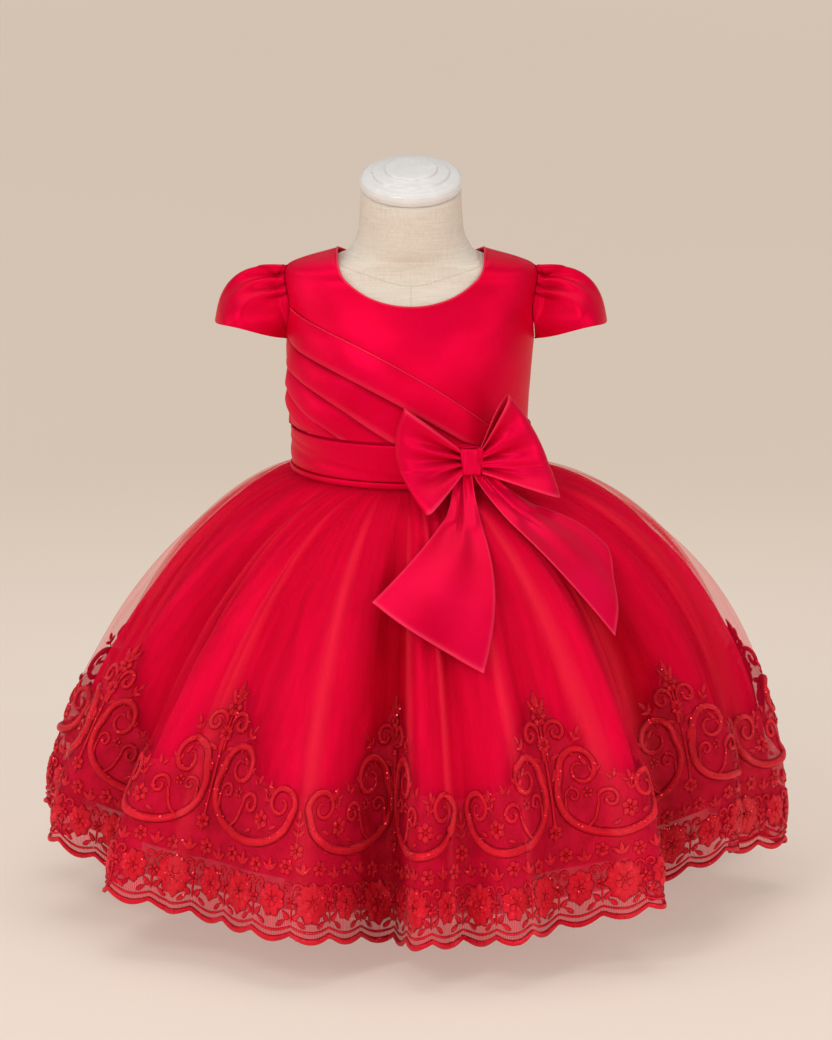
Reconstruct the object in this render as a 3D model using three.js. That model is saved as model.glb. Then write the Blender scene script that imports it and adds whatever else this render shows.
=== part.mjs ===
// A toddler's party dress, worn by a small limbless dress form that stands on a round base.
// Millimetres, +Z up, the front towards -Y, the origin under the centre of the base.
// The bodice, the sash and the form follow one set of body sections; the skirt is a dome with
// uneven soft folds, and every piece of cloth is a wall of even thickness.
import * as THREE from "three";

// Cloth and seams
const SATIN = 1.2; // wall of the satin pieces
const NET = 1.0; // wall of the tulle
const LACE = 1.3; // wall of the embroidered border
const SEAM = 0.4; // gap left where two pieces are sewn together
const LACE_SEAM = 1.1; // the same down the skirt, where the lace's edge is steep
const BODICE_OUT = 1.9; // outer face of the bodice above the form

// Heights of the dress
const WAIST = 336.5; // seam between bodice and skirt
const FLARE = 324; // where the skirt leaves the sash
const HEM = 35; // height of the lace's edge under a plain fold
const UNDERARM = 424;
const SHOULDER_TIP = 477.5;
const NECK_SIDE = 488;
const NECK_FRONT = 456;
const NECK_BACK = 474;

// Skirt
const HEM_HALF_WIDTH = 268;
const HEM_HALF_DEPTH = 262;
const LINING_HEM = 0.9; // share of the skirt's length that the lining covers
const LINING_GAP = 15; // lining inside the tulle, at the hem
const LINING_DROP = 2; // lining's flare below the tulle's
const REPEATS = 11; // of the lace pattern round the hem
const LACE_LOW = 98; // height of the border between two peaks
const LACE_PEAK = 172; // height of the border at a peak
const SKIRT_LENGTH = 360; // along the cloth, from the sash to the hem
const SCALLOPS = 6; // per repeat of the lace
const SCALLOP_DEPTH = 6;
const VALLEY_SHARE = 0.55; // of a fold's cloth, from its ridge to its valley

// Dress form
const FORM_FOOT = 150; // underside of the torso
const NECK_TOP = 538.5;
const NECK_TILT = 13; // degrees that the neck's top leans forward
const FORM_EASE = 0.8; // form under the dress's own sections, front and back
const SHOULDER_EASE = 6.6; // the same at the shoulders
const POLE_RADIUS = 11;
const BASE_RADIUS = 96;
const BASE_HEIGHT = 14;

const SATIN_RED = { color: 0xd4062e, roughness: 0.42, metalness: 0 };
const TULLE_RED = { color: 0xe0213f, roughness: 0.85, metalness: 0 };
const LINING_RED = { color: 0xcf0528, roughness: 0.55, metalness: 0 };
const LACE_RED = { color: 0xb5101f, roughness: 0.6, metalness: 0 };
const LINEN = { color: 0xe2d7c6, roughness: 0.9, metalness: 0 };
const WHITE_LACQUER = { color: 0xf4f3f1, roughness: 0.25, metalness: 0 };
const STEEL = { color: 0xb8bcc0, roughness: 0.3, metalness: 1 };

// Sections of the body: half width, half depth, centre's y, and the plane's lean in degrees.
const BODY = [
  { z: 150, halfWidth: 77, halfDepth: 60, centre: -2, lean: 0 },
  { z: 168, halfWidth: 82, halfDepth: 67, centre: -2, lean: 0 },
  { z: 240, halfWidth: 84.5, halfDepth: 71, centre: -2, lean: 0 },
  { z: 300, halfWidth: 84.5, halfDepth: 70, centre: -2, lean: 0 },
  { z: 336, halfWidth: 84, halfDepth: 69, centre: -2, lean: 0 },
  { z: 365, halfWidth: 84.5, halfDepth: 70, centre: -2, lean: 0 },
  { z: 395, halfWidth: 86.5, halfDepth: 71, centre: -1, lean: 0 },
  { z: 418, halfWidth: 88.5, halfDepth: 69, centre: 0, lean: 0 },
  { z: 436, halfWidth: 90.5, halfDepth: 64, centre: 1, lean: 0 },
  { z: 450, halfWidth: 92, halfDepth: 57, centre: 2, lean: 0 },
  { z: 462, halfWidth: 92.6, halfDepth: 49, centre: 2, lean: 0 },
  { z: 471, halfWidth: 92, halfDepth: 41.5, centre: 1, lean: 0 },
  { z: 477, halfWidth: 89.5, halfDepth: 37, centre: 0, lean: 0 },
  { z: 481.5, halfWidth: 79, halfDepth: 35, centre: -1, lean: 0 },
  { z: 485, halfWidth: 66, halfDepth: 35.5, centre: -2, lean: 0 },
  { z: 489, halfWidth: 52, halfDepth: 37, centre: -4, lean: 1 },
  { z: 495, halfWidth: 43.5, halfDepth: 38.5, centre: -6, lean: 3 },
  { z: 504, halfWidth: 39.5, halfDepth: 38.5, centre: -8, lean: 6 },
  { z: 516, halfWidth: 38, halfDepth: 38, centre: -10, lean: 9 },
  { z: NECK_TOP, halfWidth: 37, halfDepth: 37, centre: -13, lean: NECK_TILT },
];

// Folds of the skirt in order round it. Azimuth is 0 at the front and 90 on +X; ridge and valley
// are how far the cloth comes out and goes in at the hem, at is where the valley lies between
// this ridge and the next one, swell is the cloth's fullness below the waist and lift raises the
// hem of the fold.
const FOLDS = [
  { azimuth: -98, atWaist: -92, ridge: 10, valley: 24, at: 0.5, swell: -9, lift: 22 },
  { azimuth: -75, atWaist: -60, ridge: 9, valley: 28, at: 0.6, swell: -9, lift: 25 },
  { azimuth: -51, atWaist: -32, ridge: 18, valley: 10, at: 0.42, swell: -5, lift: 12 },
  { azimuth: -19, atWaist: -14, ridge: 15, valley: 50, at: 0.7, swell: 0, lift: 3 },
  { azimuth: 2, atWaist: 2, ridge: 8, valley: 15, at: 0.55, swell: 0, lift: 0 },
  { azimuth: 15, atWaist: 13, ridge: 14, valley: 12, at: 0.4, swell: 4, lift: 2 },
  { azimuth: 40, atWaist: 33, ridge: 17, valley: 46, at: 0.3, swell: 10, lift: 14 },
  { azimuth: 67, atWaist: 60, ridge: -8, valley: 26, at: 0.45, swell: 18, lift: 30 },
  { azimuth: 90, atWaist: 86, ridge: 12, valley: 34, at: 0.45, swell: 20, lift: 0 },
  { azimuth: 112, atWaist: 112, ridge: 12, valley: 22, at: 0.6, swell: 16, lift: 4 },
  { azimuth: 136, atWaist: 138, ridge: 8, valley: 38, at: 0.4, swell: 8, lift: 12 },
  { azimuth: 157, atWaist: 160, ridge: 13, valley: 28, at: 0.55, swell: 4, lift: 6 },
  { azimuth: 178, atWaist: 180, ridge: 9, valley: 42, at: 0.62, swell: 0, lift: 2 },
  { azimuth: 199, atWaist: 201, ridge: 12, valley: 20, at: 0.45, swell: 0, lift: 8 },
  { azimuth: 222, atWaist: 224, ridge: 8, valley: 38, at: 0.55, swell: 0, lift: 12 },
  { azimuth: 242, atWaist: 246, ridge: 11, valley: 26, at: 0.4, swell: -5, lift: 20 },
];
const FRONT_FOLDS = 8; // folds 0 to 7 are in the front panel

// Pleat edges of the draped panel, in the front view: from the side to under the bow.
const PLEATS = [
  { sideAngle: -69, sideZ: 450, endX: 54, endZ: 371, bend: 14 },
  { sideAngle: -79, sideZ: 428, endX: 36, endZ: 361, bend: 12 },
  { sideAngle: -86, sideZ: 407, endX: -13, endZ: 360.6, bend: 5.5 },
  { sideAngle: -86, sideZ: 390, endX: -50, endZ: 360.4, bend: -6 },
  { sideAngle: -86, sideZ: 377, endX: -74, endZ: 360.2, bend: -3 },
  { sideAngle: -86, sideZ: 360, endX: -84, endZ: 360, bend: 0 },
];
const PLEAT_RISE = 2.4; // a pleat's folded edge above its tucked one

const SASH = { low: 330.5, high: 358.5, inner: 3.6 };
const SASH_FOLD = { low: 325.5, high: 330, inner: 3.9 };

// Bow: a loop's far fold runs from its top to its bottom, measured from the knot's centre.
const BOW = { x: 44, y: -78.6, z: 348, facing: 12 };
const KNOT = { halfWidth: 8.5, halfHeight: 10, depth: 11 };
const LOOPS = [
  { name: "bow_loop_left", side: -1, top: [-50, 42], bottom: [-40, -32], bulge: 11 },
  { name: "bow_loop_right", side: 1, top: [28, 49], bottom: [62, -25], bulge: 7 },
];
const LOOP_LEAN = 1; // the loops' lower halves come forward over the skirt
const LOOP_DEPTH = 7; // half of a loop's fullness
// Tails: the corners of the cut end, by azimuth and by share of the skirt's length, and how far
// out the tail bridges the skirt's folds.
const TAILS = [
  {
    name: "bow_tail_left",
    rootX: -6,
    out: 16,
    left: { azimuth: -9, along: 0.3 },
    right: { azimuth: 14, along: 0.46 },
  },
  {
    name: "bow_tail_right",
    rootX: 7,
    out: 25,
    left: { azimuth: 43, along: 0.41 },
    right: { azimuth: 56, along: 0.21 },
  },
];

const rad = THREE.MathUtils.degToRad;
const lerp = THREE.MathUtils.lerp;
const clamp = THREE.MathUtils.clamp;
const ease = (x) => THREE.MathUtils.smoothstep(x, 0, 1);

// A number from 0 to 1 for every step, both ends included.
function steps(count) {
  return Array.from({ length: count + 1 }, (_, i) => i / count);
}

// The value of one column of a table at a height, on a smooth curve through its rows.
function column(table, key, z) {
  const last = table.length - 1;
  let k = 0;
  while (k < last - 1 && z > table[k + 1].z) k += 1;
  const [a, b, c, d] = [k - 1, k, k + 1, k + 2].map((i) => table[clamp(i, 0, last)]);
  const span = c.z - b.z;
  const t = clamp((z - b.z) / span, 0, 1);
  const slopeB = b === a ? 0 : ((c[key] - a[key]) / (c.z - a.z)) * span;
  const slopeC = c === d ? 0 : ((d[key] - b[key]) / (d.z - b.z)) * span;
  const h = t * t * (3 - 2 * t);
  return (
    b[key] * (1 - h) + c[key] * h + slopeB * t * (1 - t) ** 2 - slopeC * t * t * (1 - t)
  );
}

// A point on the form: the angle is 0 at the front and 90 on +X, in degrees.
function formPoint(angle, z) {
  const centre = column(BODY, "centre", z);
  const x = column(BODY, "halfWidth", z) * Math.sin(rad(angle));
  const y = -column(BODY, "halfDepth", z) * Math.cos(rad(angle));
  const lean = Math.tan(rad(column(BODY, "lean", z)));
  return new THREE.Vector3(x, centre + y, z + y * lean);
}

// The same point moved out along the form's normal.
function onForm(angle, z, out) {
  const across = formPoint(angle + 0.5, z).sub(formPoint(angle - 0.5, z));
  const up = formPoint(angle, z + 0.25).sub(formPoint(angle, z - 0.25));
  return formPoint(angle, z).addScaledVector(across.cross(up).normalize(), out);
}

// The angle at which the form's front is x wide at a height.
function angleAt(x, z) {
  return THREE.MathUtils.radToDeg(Math.asin(clamp(x / column(BODY, "halfWidth", z), -1, 1)));
}

// The closed wall between an outer and an inner face. Both are rows of points, from low to high
// and anticlockwise from above.
function wall(outer, inner, closed = false) {
  const height = outer.length;
  const width = outer[0].length;
  const index = (i, j, within) => (within ? height * width : 0) + j * width + (i % width);
  const points = [...outer.flat(), ...inner.flat()];
  const faces = [];
  const quad = (a, b, c, d) => faces.push(a, b, c, a, c, d);
  const spans = closed ? width : width - 1;
  for (let i = 0; i < spans; i += 1) {
    for (let j = 0; j < height - 1; j += 1) {
      quad(index(i, j), index(i + 1, j), index(i + 1, j + 1), index(i, j + 1));
      quad(index(i, j, true), index(i, j + 1, true), index(i + 1, j + 1, true), index(i + 1, j, true));
    }
    quad(index(i + 1, 0), index(i, 0), index(i, 0, true), index(i + 1, 0, true));
    const top = height - 1;
    quad(index(i, top), index(i + 1, top), index(i + 1, top, true), index(i, top, true));
  }
  if (!closed) {
    const end = width - 1;
    for (let j = 0; j < height - 1; j += 1) {
      quad(index(0, j), index(0, j + 1), index(0, j + 1, true), index(0, j, true));
      quad(index(end, j + 1), index(end, j), index(end, j, true), index(end, j + 1, true));
    }
  }
  return geometryOf(points, faces);
}

// The wall under a surface that is given as a point for each (u, v): v are its rows from low to
// high, u its columns anticlockwise from above.
const NEAR = 0.01; // step in u and v for the surface's slope
function sheet(surface, us, vs, thickness) {
  const under = (u, v) => {
    const across = surface(u + NEAR, v).sub(surface(u - NEAR, v));
    const up = surface(u, v + NEAR).sub(surface(u, v - NEAR));
    return surface(u, v).addScaledVector(across.cross(up).normalize(), -thickness);
  };
  return wall(
    vs.map((v) => us.map((u) => surface(u, v))),
    vs.map((v) => us.map((u) => under(u, v))),
  );
}

// A solid through closed rings of points, from low to high, shut at both ends.
function loft(rings) {
  const width = rings[0].length;
  const points = rings.flat();
  const middle = (ring) =>
    ring.reduce((sum, p) => sum.add(p), new THREE.Vector3()).divideScalar(width);
  points.push(middle(rings[0]), middle(rings[rings.length - 1]));
  const low = points.length - 2;
  const high = points.length - 1;
  const faces = [];
  for (let i = 0; i < width; i += 1) {
    const next = (i + 1) % width;
    for (let j = 0; j < rings.length - 1; j += 1) {
      const a = j * width + i;
      const b = j * width + next;
      faces.push(a, b, b + width, a, b + width, a + width);
    }
    const top = (rings.length - 1) * width;
    faces.push(low, next, i, high, top + i, top + next);
  }
  return geometryOf(points, faces);
}

function geometryOf(points, faces) {
  const geometry = new THREE.BufferGeometry().setFromPoints(points);
  geometry.setIndex(faces);
  geometry.computeVertexNormals();
  return geometry;
}

function piece(name, geometry, look) {
  const mesh = new THREE.Mesh(geometry, new THREE.MeshStandardMaterial(look));
  mesh.name = name;
  return mesh;
}

// Bodice. A panel's edges are drawn in (angle, height) and filled between; angles are from the
// panel's middle line, and the armhole cuts in from the side seam.
const ARMHOLE_CUT = 17; // degrees that the armhole reaches round from the side seam

function armhole(share) {
  return {
    angle: 90 - ARMHOLE_CUT * Math.sin(Math.PI * share) ** 0.8,
    z: lerp(UNDERARM, SHOULDER_TIP, share),
  };
}

// Half of a panel's top: along the neckline from the middle, then along the shoulder.
const NECK_SHARE = 0.6;
function topEdge(share, neckMiddle) {
  if (share <= NECK_SHARE) {
    const turn = (1 - (1 - share / NECK_SHARE) ** 1.6) * (Math.PI / 2);
    const z = lerp(NECK_SIDE, neckMiddle, Math.cos(turn));
    const reach = column(BODY, "halfWidth", NECK_SIDE) * Math.sin(turn);
    return { angle: angleAt(reach, z), z };
  }
  const along = (share - NECK_SHARE) / (1 - NECK_SHARE);
  return { angle: 90, z: lerp(NECK_SIDE, SHOULDER_TIP, along) };
}

// A point of a bodice panel: across runs from -1 to 1, up from 0 at the waist to 1.
const TO_UNDERARM = 0.4;
function panelPoint(across, up, neckMiddle) {
  const side = Math.sign(across);
  const share = Math.abs(across);
  const base = WAIST + SEAM;
  if (up <= TO_UNDERARM) {
    return { angle: 90 * across, z: lerp(base, UNDERARM, up / TO_UNDERARM) };
  }
  const rise = (up - TO_UNDERARM) / (1 - TO_UNDERARM);
  const top = topEdge(share, neckMiddle);
  const edge = armhole(rise);
  const angle = lerp(90 * share, top.angle, rise) + share * (edge.angle - 90);
  const z = lerp(UNDERARM, top.z, rise) + share * (edge.z - lerp(UNDERARM, SHOULDER_TIP, rise));
  return { angle: side * angle, z };
}

// The seams run along the panel's side, centre back and shoulders.
const SIDE_SEAM = 0.45; // degrees, half of the gap at the side seams
function bodicePanel(columns, rowCount, from, to, neckMiddle, facing) {
  const squeeze = (90 - SIDE_SEAM) / 90;
  const face = (out) =>
    steps(rowCount).map((up) =>
      steps(columns).map((share) => {
        const p = panelPoint(lerp(from, to, share), up, neckMiddle);
        return onForm(facing + p.angle * squeeze, p.z, out);
      }),
    );
  return wall(face(BODICE_OUT), face(BODICE_OUT - SATIN));
}

function bodice() {
  const centreBack = 0.004; // half of the gap at the centre back, as a share of half the back
  return [
    piece("bodice_front", bodicePanel(30, 10, -1, 1, NECK_FRONT, 0), SATIN_RED),
    piece("bodice_back_right", bodicePanel(15, 10, -1, -centreBack, NECK_BACK, 180), SATIN_RED),
    piece("bodice_back_left", bodicePanel(15, 10, centreBack, 1, NECK_BACK, 180), SATIN_RED),
  ];
}

// The draped panel: bands between pleat edges, each low where it is tucked in and high at its fold.
const PLEAT_OUT = BODICE_OUT + SEAM + 0.7 + SATIN;
const PLEAT_COLUMNS = 14;
function pleatLine(pleat, share) {
  const endAngle = angleAt(pleat.endX, pleat.endZ);
  const bend = pleat.bend * Math.sin(Math.PI * share);
  return {
    angle: lerp(pleat.sideAngle, endAngle, share),
    z: lerp(pleat.sideZ, pleat.endZ, share ** 0.92) + bend,
  };
}

const PLEAT_BAND = [
  { across: 0.04, rise: 0.1 },
  { across: 0.5, rise: 0.75 },
  { across: 0.97, rise: 1 },
];
function drapedPanel() {
  const face = (under) => {
    const rows = [];
    for (let k = 0; k < PLEATS.length - 1; k += 1) {
      PLEAT_BAND.forEach(({ across, rise }) =>
        rows.unshift(
          steps(PLEAT_COLUMNS).map((share) => {
            const high = pleatLine(PLEATS[k], share);
            const low = pleatLine(PLEATS[k + 1], share);
            const crowding = clamp((high.z - low.z) / 12, 0.15, 1);
            const flat = 0.25 + 0.75 * ease(share / 0.14); // pleats lie flat at the side seam
            return onForm(
              lerp(high.angle, low.angle, across),
              lerp(high.z, low.z, across),
              PLEAT_OUT + PLEAT_RISE * rise * crowding * flat - under,
            );
          }),
        ),
      );
    }
    return rows;
  };
  return piece("draped_panel", wall(face(0), face(SATIN)), SATIN_RED);
}

// Cap sleeves: a puff from the armhole to the cuff, which meet under the arm.
const SLEEVE_COLUMNS = 20;
const SLEEVE_ROWS = 5;
const SLEEVE_REACH = 49;
const SLEEVE_GATHERS = 6;
function sleevePoint(around, out) {
  const front = around < 0.5;
  const hole = armhole(clamp(1 - Math.abs(2 * around - 1), 0.02, 0.98));
  const seam = onForm(front ? hole.angle : 180 - hole.angle, hole.z, BODICE_OUT + SEAM);
  const arch = Math.sin(Math.PI * around);
  const swing = Math.sin(2 * Math.PI * around);
  const cuff = new THREE.Vector3(
    93 + (SLEEVE_REACH + 3) * arch,
    -32 * swing,
    UNDERARM - 3.5 + 16 * arch + 6 * swing ** 2,
  );
  const crown = seam.clone().add(new THREE.Vector3(44 * arch ** 0.6, -14 * swing, 6 * arch));
  const p = seam
    .clone()
    .multiplyScalar((1 - out) ** 2)
    .addScaledVector(crown, 2 * out * (1 - out))
    .addScaledVector(cuff, out * out);
  const gather = Math.cos(2 * Math.PI * SLEEVE_GATHERS * (around - 0.5));
  const fade = Math.max(0, arch - 0.55) * Math.sin(Math.PI * Math.min(1, out * 1.6)) * (1 - out);
  p.z += 4.2 * gather * fade;
  return p;
}

function sleeve(name, side) {
  const surface = (share, up) => {
    const p = sleevePoint(lerp(0.015, 0.985, side > 0 ? share : 1 - share), 1 - up);
    return p.setX(side * p.x);
  };
  return piece(name, sheet(surface, steps(SLEEVE_COLUMNS), steps(SLEEVE_ROWS), SATIN), SATIN_RED);
}

// Sash: a band round the waist, and the narrow fold that shows under it.
function sashBand(name, { low, high, inner }, columns) {
  const face = (out) =>
    [low, (low + high) / 2, high].map((z) =>
      Array.from({ length: columns }, (_, i) => {
        const fullness = z === low || z === high ? 0 : 0.8;
        return onForm((360 * i) / columns, z, out + fullness);
      }),
    );
  return piece(name, wall(face(inner + SATIN), face(inner), true), SATIN_RED);
}

// Skirt. A place is a fold's number and the share w of the way along its cloth, from its ridge to
// its valley and on to the next ridge.
function foldAt(place) {
  const count = FOLDS.length;
  const i = Math.floor(place);
  const w = place - i;
  const fold = FOLDS[((i % count) + count) % count];
  const next = FOLDS[(((i + 1) % count) + count) % count];
  const turns = 360 * (Math.floor((i + 1) / count) - Math.floor(i / count));
  const down = w < VALLEY_SHARE;
  const share = down ? w / VALLEY_SHARE : (w - VALLEY_SHARE) / (1 - VALLEY_SHARE);
  const along = down ? fold.at * share : lerp(fold.at, 1, share);
  const low = -fold.valley;
  return {
    azimuth: lerp(fold.azimuth, next.azimuth + turns, along),
    atWaist: lerp(fold.atWaist, next.atWaist + turns, along),
    relief: down ? lerp(fold.ridge, low, ease(share)) : lerp(low, next.ridge, ease(share)),
    swell: lerp(fold.swell, next.swell, along),
    lift: lerp(fold.lift, next.lift, along),
    w,
  };
}

function radiusOf(halfWidth, halfDepth, azimuth) {
  const s = Math.sin(rad(azimuth)) / halfWidth;
  const c = Math.cos(rad(azimuth)) / halfDepth;
  return 1 / Math.hypot(s, c);
}

// The plain dome under the folds, by azimuth and by share of the way from the sash to the hem.
const WAIST_OUT = 3; // skirt's outer face above the form at the sash
function domePoint(azimuth, along, out) {
  const drop = along ** 1.35;
  const spread = (1 - (1 - drop) ** 1.85) ** 0.66;
  const waist = radiusOf(
    column(BODY, "halfWidth", FLARE) + WAIST_OUT,
    column(BODY, "halfDepth", FLARE) + WAIST_OUT,
    azimuth,
  );
  const hem = radiusOf(HEM_HALF_WIDTH, HEM_HALF_DEPTH, azimuth);
  const radius = lerp(waist, hem, spread) + out;
  const centre = lerp(column(BODY, "centre", FLARE), 0, spread);
  return new THREE.Vector3(
    radius * Math.sin(rad(azimuth)),
    centre - radius * Math.cos(rad(azimuth)),
    lerp(FLARE, HEM, drop),
  );
}

const GATHERS = 3; // small gathers in each fold, from the waist to the middle of the skirt
const GATHER_HEIGHT = 3.2;
function gatherAt(w, along) {
  const reach = clamp(along / 0.62, 0, 1);
  return GATHER_HEIGHT * Math.sin(Math.PI * reach) * Math.cos(2 * Math.PI * GATHERS * w);
}

// A point of the skirt's cloth, by place in the folds and by share of the skirt's length; under
// says how far it is below the tulle, and ridges how much of a ridge it follows.
const VALLEY_SINK = 0.2; // a fold that goes in hangs lower by this share of its depth
function foldedPoint(place, along, ridges, under) {
  const fold = foldAt(place);
  const azimuth = lerp(fold.atWaist, fold.azimuth, Math.sqrt(along));
  const relief = Math.min(fold.relief, fold.relief * ridges) * along ** 1.15;
  const swell = fold.swell * Math.sin(Math.PI * along ** 0.7);
  const gathers = under === 0 ? gatherAt(fold.w, along) : 0;
  const p = domePoint(azimuth, along, relief + swell + gathers - under);
  p.z += along * along * fold.lift + VALLEY_SINK * relief * along;
  return p;
}

function skirtPoint(place, share) {
  return foldedPoint(place, clamp(share, 0, 1), 1, 0);
}

function liningPoint(place, share) {
  const along = clamp(share, 0, 1);
  const p = foldedPoint(place, along, 0.5, lerp(1.6, LINING_GAP, Math.min(1, along * 2.2)));
  p.z -= LINING_DROP;
  return p;
}

// Where the cloth runs under the sash it stands up to the waist seam: share is below 0 there.
const SASH_SHARE = -0.03;
function upToSeam(point, share) {
  const p = point(0);
  const rise = clamp(share / SASH_SHARE, 0, 1);
  return share >= 0 ? point(share) : p.setZ(lerp(p.z, WAIST, rise));
}

// How far round the lace a place in the folds lies, in repeats, by the hem's own length.
const HEM_SAMPLES = 72; // per fold
const LACE_START = 0.28; // repeats before the first ridge
const repeatsAt = (() => {
  const lengths = [0];
  let before = skirtPoint(0, 1);
  for (let i = 1; i <= FOLDS.length * HEM_SAMPLES; i += 1) {
    const p = skirtPoint(i / HEM_SAMPLES, 1);
    lengths.push(lengths[i - 1] + p.distanceTo(before));
    before = p;
  }
  return lengths.map((length) => (REPEATS * length) / lengths[lengths.length - 1] + LACE_START);
})();
function repeatAt(place) {
  const i = clamp(place * HEM_SAMPLES, 0, repeatsAt.length - 1 - 1e-6);
  return lerp(repeatsAt[Math.floor(i)], repeatsAt[Math.floor(i) + 1], i % 1);
}

// The border's height at a place: a narrow peak in each repeat over a gentle dip.
function laceHeight(repeat) {
  const off = Math.abs(repeat - Math.round(repeat)) * 2; // 0 at the peak, 1 between peaks
  const spire = Math.max(0, 1 - off / 0.42) ** 1.3;
  return LACE_LOW + (LACE_PEAK - LACE_LOW) * (0.78 * spire + 0.22 * (1 - ease(off)));
}

function scallop(repeat) {
  return SCALLOP_DEPTH * Math.abs(Math.sin(Math.PI * SCALLOPS * repeat));
}

// Places of a panel's columns; its side seams are a small gap inside the first and last fold. The
// tulle and the lace have a column at each tip and each notch of the scalloped hem.
const PLACE_GAP = 0.004;
function scallopPlaces(first, count) {
  const places = [first + PLACE_GAP];
  for (let i = 1; i < count * HEM_SAMPLES; i += 1) {
    const place = first + i / HEM_SAMPLES;
    const here = 2 * SCALLOPS * repeatAt(place);
    const before = 2 * SCALLOPS * repeatAt(place - 1 / HEM_SAMPLES);
    const crossed = Math.floor(here) > Math.floor(before);
    const clear = i > 5 && i < count * HEM_SAMPLES - 5;
    const over = (here - Math.floor(here)) / (here - before);
    if (crossed && clear) places.push(place - over / HEM_SAMPLES);
  }
  places.push(first + count - PLACE_GAP);
  return places;
}
function evenPlaces(first, count, columns) {
  return steps(count * columns).map((share) =>
    lerp(first + PLACE_GAP, first + count - PLACE_GAP, share),
  );
}

// The lace's top at each place; both panels meet it with a seam.
function laceTop(place) {
  return 1 - laceHeight(repeatAt(place)) / SKIRT_LENGTH;
}

const TULLE_ROWS = [1, 0.8, 0.6, 0.4, 0.2, 0, SASH_SHARE];
function tullePanel(name, first, count) {
  const surface = (place, v) => {
    const edge = laceTop(place) - LACE_SEAM / SKIRT_LENGTH;
    const share = -v > 0 ? -v * edge : -v;
    return upToSeam((along) => skirtPoint(place, along), share);
  };
  const rows = TULLE_ROWS.map((share) => -share);
  return piece(name, sheet(surface, scallopPlaces(first, count), rows, NET), TULLE_RED);
}

const LACE_ROWS = [1, 0.66, 0.33, 0];
function lacePanel(name, first, count) {
  const surface = (place, v) => {
    const p = skirtPoint(place, lerp(laceTop(place), 1, -v));
    p.z -= scallop(repeatAt(place)) * Math.max(0, 1 - 4 * (1 + v));
    return p;
  };
  const rows = LACE_ROWS.map((share) => -share);
  return piece(name, sheet(surface, scallopPlaces(first, count), rows, LACE), LACE_RED);
}

const LINING_ROWS = [LINING_HEM, 0.62, 0.36, 0.14, 0, SASH_SHARE];
const LINING_COLUMNS = 6;
function liningPanel(name, first, count) {
  const surface = (place, v) => upToSeam((along) => liningPoint(place, along), -v);
  const rows = LINING_ROWS.map((share) => -share);
  const places = evenPlaces(first, count, LINING_COLUMNS);
  return piece(name, sheet(surface, places, rows, NET), LINING_RED);
}

function skirt() {
  const back = FOLDS.length - FRONT_FOLDS;
  return [
    tullePanel("skirt_tulle_front", 0, FRONT_FOLDS),
    tullePanel("skirt_tulle_back", FRONT_FOLDS, back),
    lacePanel("lace_border_front", 0, FRONT_FOLDS),
    lacePanel("lace_border_back", FRONT_FOLDS, back),
    liningPanel("skirt_lining_front", 0, FRONT_FOLDS),
    liningPanel("skirt_lining_back", FRONT_FOLDS, back),
  ];
}

// Bow. Points are set in its own plane: right, up and out of the dress.
function bowPoint(right, up, out) {
  const turn = rad(BOW.facing);
  return new THREE.Vector3(
    BOW.x + right * Math.cos(turn) + out * Math.sin(turn),
    BOW.y + right * Math.sin(turn) - out * Math.cos(turn),
    BOW.z + up,
  );
}

// A loop is a band that leaves the knot in front, folds round and comes back behind it.
const LOOP_STEPS = 12;
const LOOP_WIDTH_STEPS = 8;
const LOOP_CREASES = 1;
function loopPoint(loop, along, across) {
  const reach = Math.sin(Math.PI * along) ** 0.85;
  const nearX = loop.side * (KNOT.halfWidth + 0.8);
  const nearZ = across * (KNOT.halfHeight - 2);
  const share = (across + 1) / 2;
  const farX = lerp(loop.bottom[0], loop.top[0], share) + loop.side * loop.bulge * (1 - across ** 2);
  const farZ = lerp(loop.bottom[1], loop.top[1], share);
  const crease = 1.3 * Math.cos(Math.PI * 2 * LOOP_CREASES * across) * (1 - reach) ** 1.5;
  const z = lerp(nearZ, farZ, reach);
  const layer = LOOP_DEPTH * Math.sin(2 * Math.PI * along) + 2.6 * Math.cos(Math.PI * along);
  return bowPoint(
    lerp(nearX, farX, reach),
    z,
    layer + crease + LOOP_LEAN * Math.max(0, -z - 4),
  );
}

function bowLoop(loop) {
  const surface = (share, up) => {
    const along = loop.side > 0 ? share : 1 - share;
    return loopPoint(loop, clamp(along, 0, 1), 2 * up - 1);
  };
  return piece(loop.name, sheet(surface, steps(LOOP_STEPS), steps(LOOP_WIDTH_STEPS), SATIN), SATIN_RED);
}

// The knot: a short band rounded at its edges, wrapped over the loops' roots.
function knot() {
  const corner = 3;
  const outline = new THREE.Shape();
  const { halfWidth: w, depth: d } = KNOT;
  outline.moveTo(-w + corner, -d / 2);
  outline.lineTo(w - corner, -d / 2);
  outline.quadraticCurveTo(w, -d / 2, w, -d / 2 + corner);
  outline.lineTo(w, d / 2 - corner);
  outline.quadraticCurveTo(w, d / 2, w - corner, d / 2);
  outline.lineTo(-w + corner, d / 2);
  outline.quadraticCurveTo(-w, d / 2, -w, d / 2 - corner);
  outline.lineTo(-w, -d / 2 + corner);
  outline.quadraticCurveTo(-w, -d / 2, -w + corner, -d / 2);
  const geometry = new THREE.ExtrudeGeometry(outline, {
    depth: 2 * KNOT.halfHeight,
    steps: 1,
    curveSegments: 3,
    bevelEnabled: false,
  });
  const mesh = piece("bow_knot", geometry, SATIN_RED);
  mesh.position.copy(bowPoint(0, -KNOT.halfHeight, 0));
  mesh.rotation.z = rad(BOW.facing);
  return mesh;
}

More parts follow.
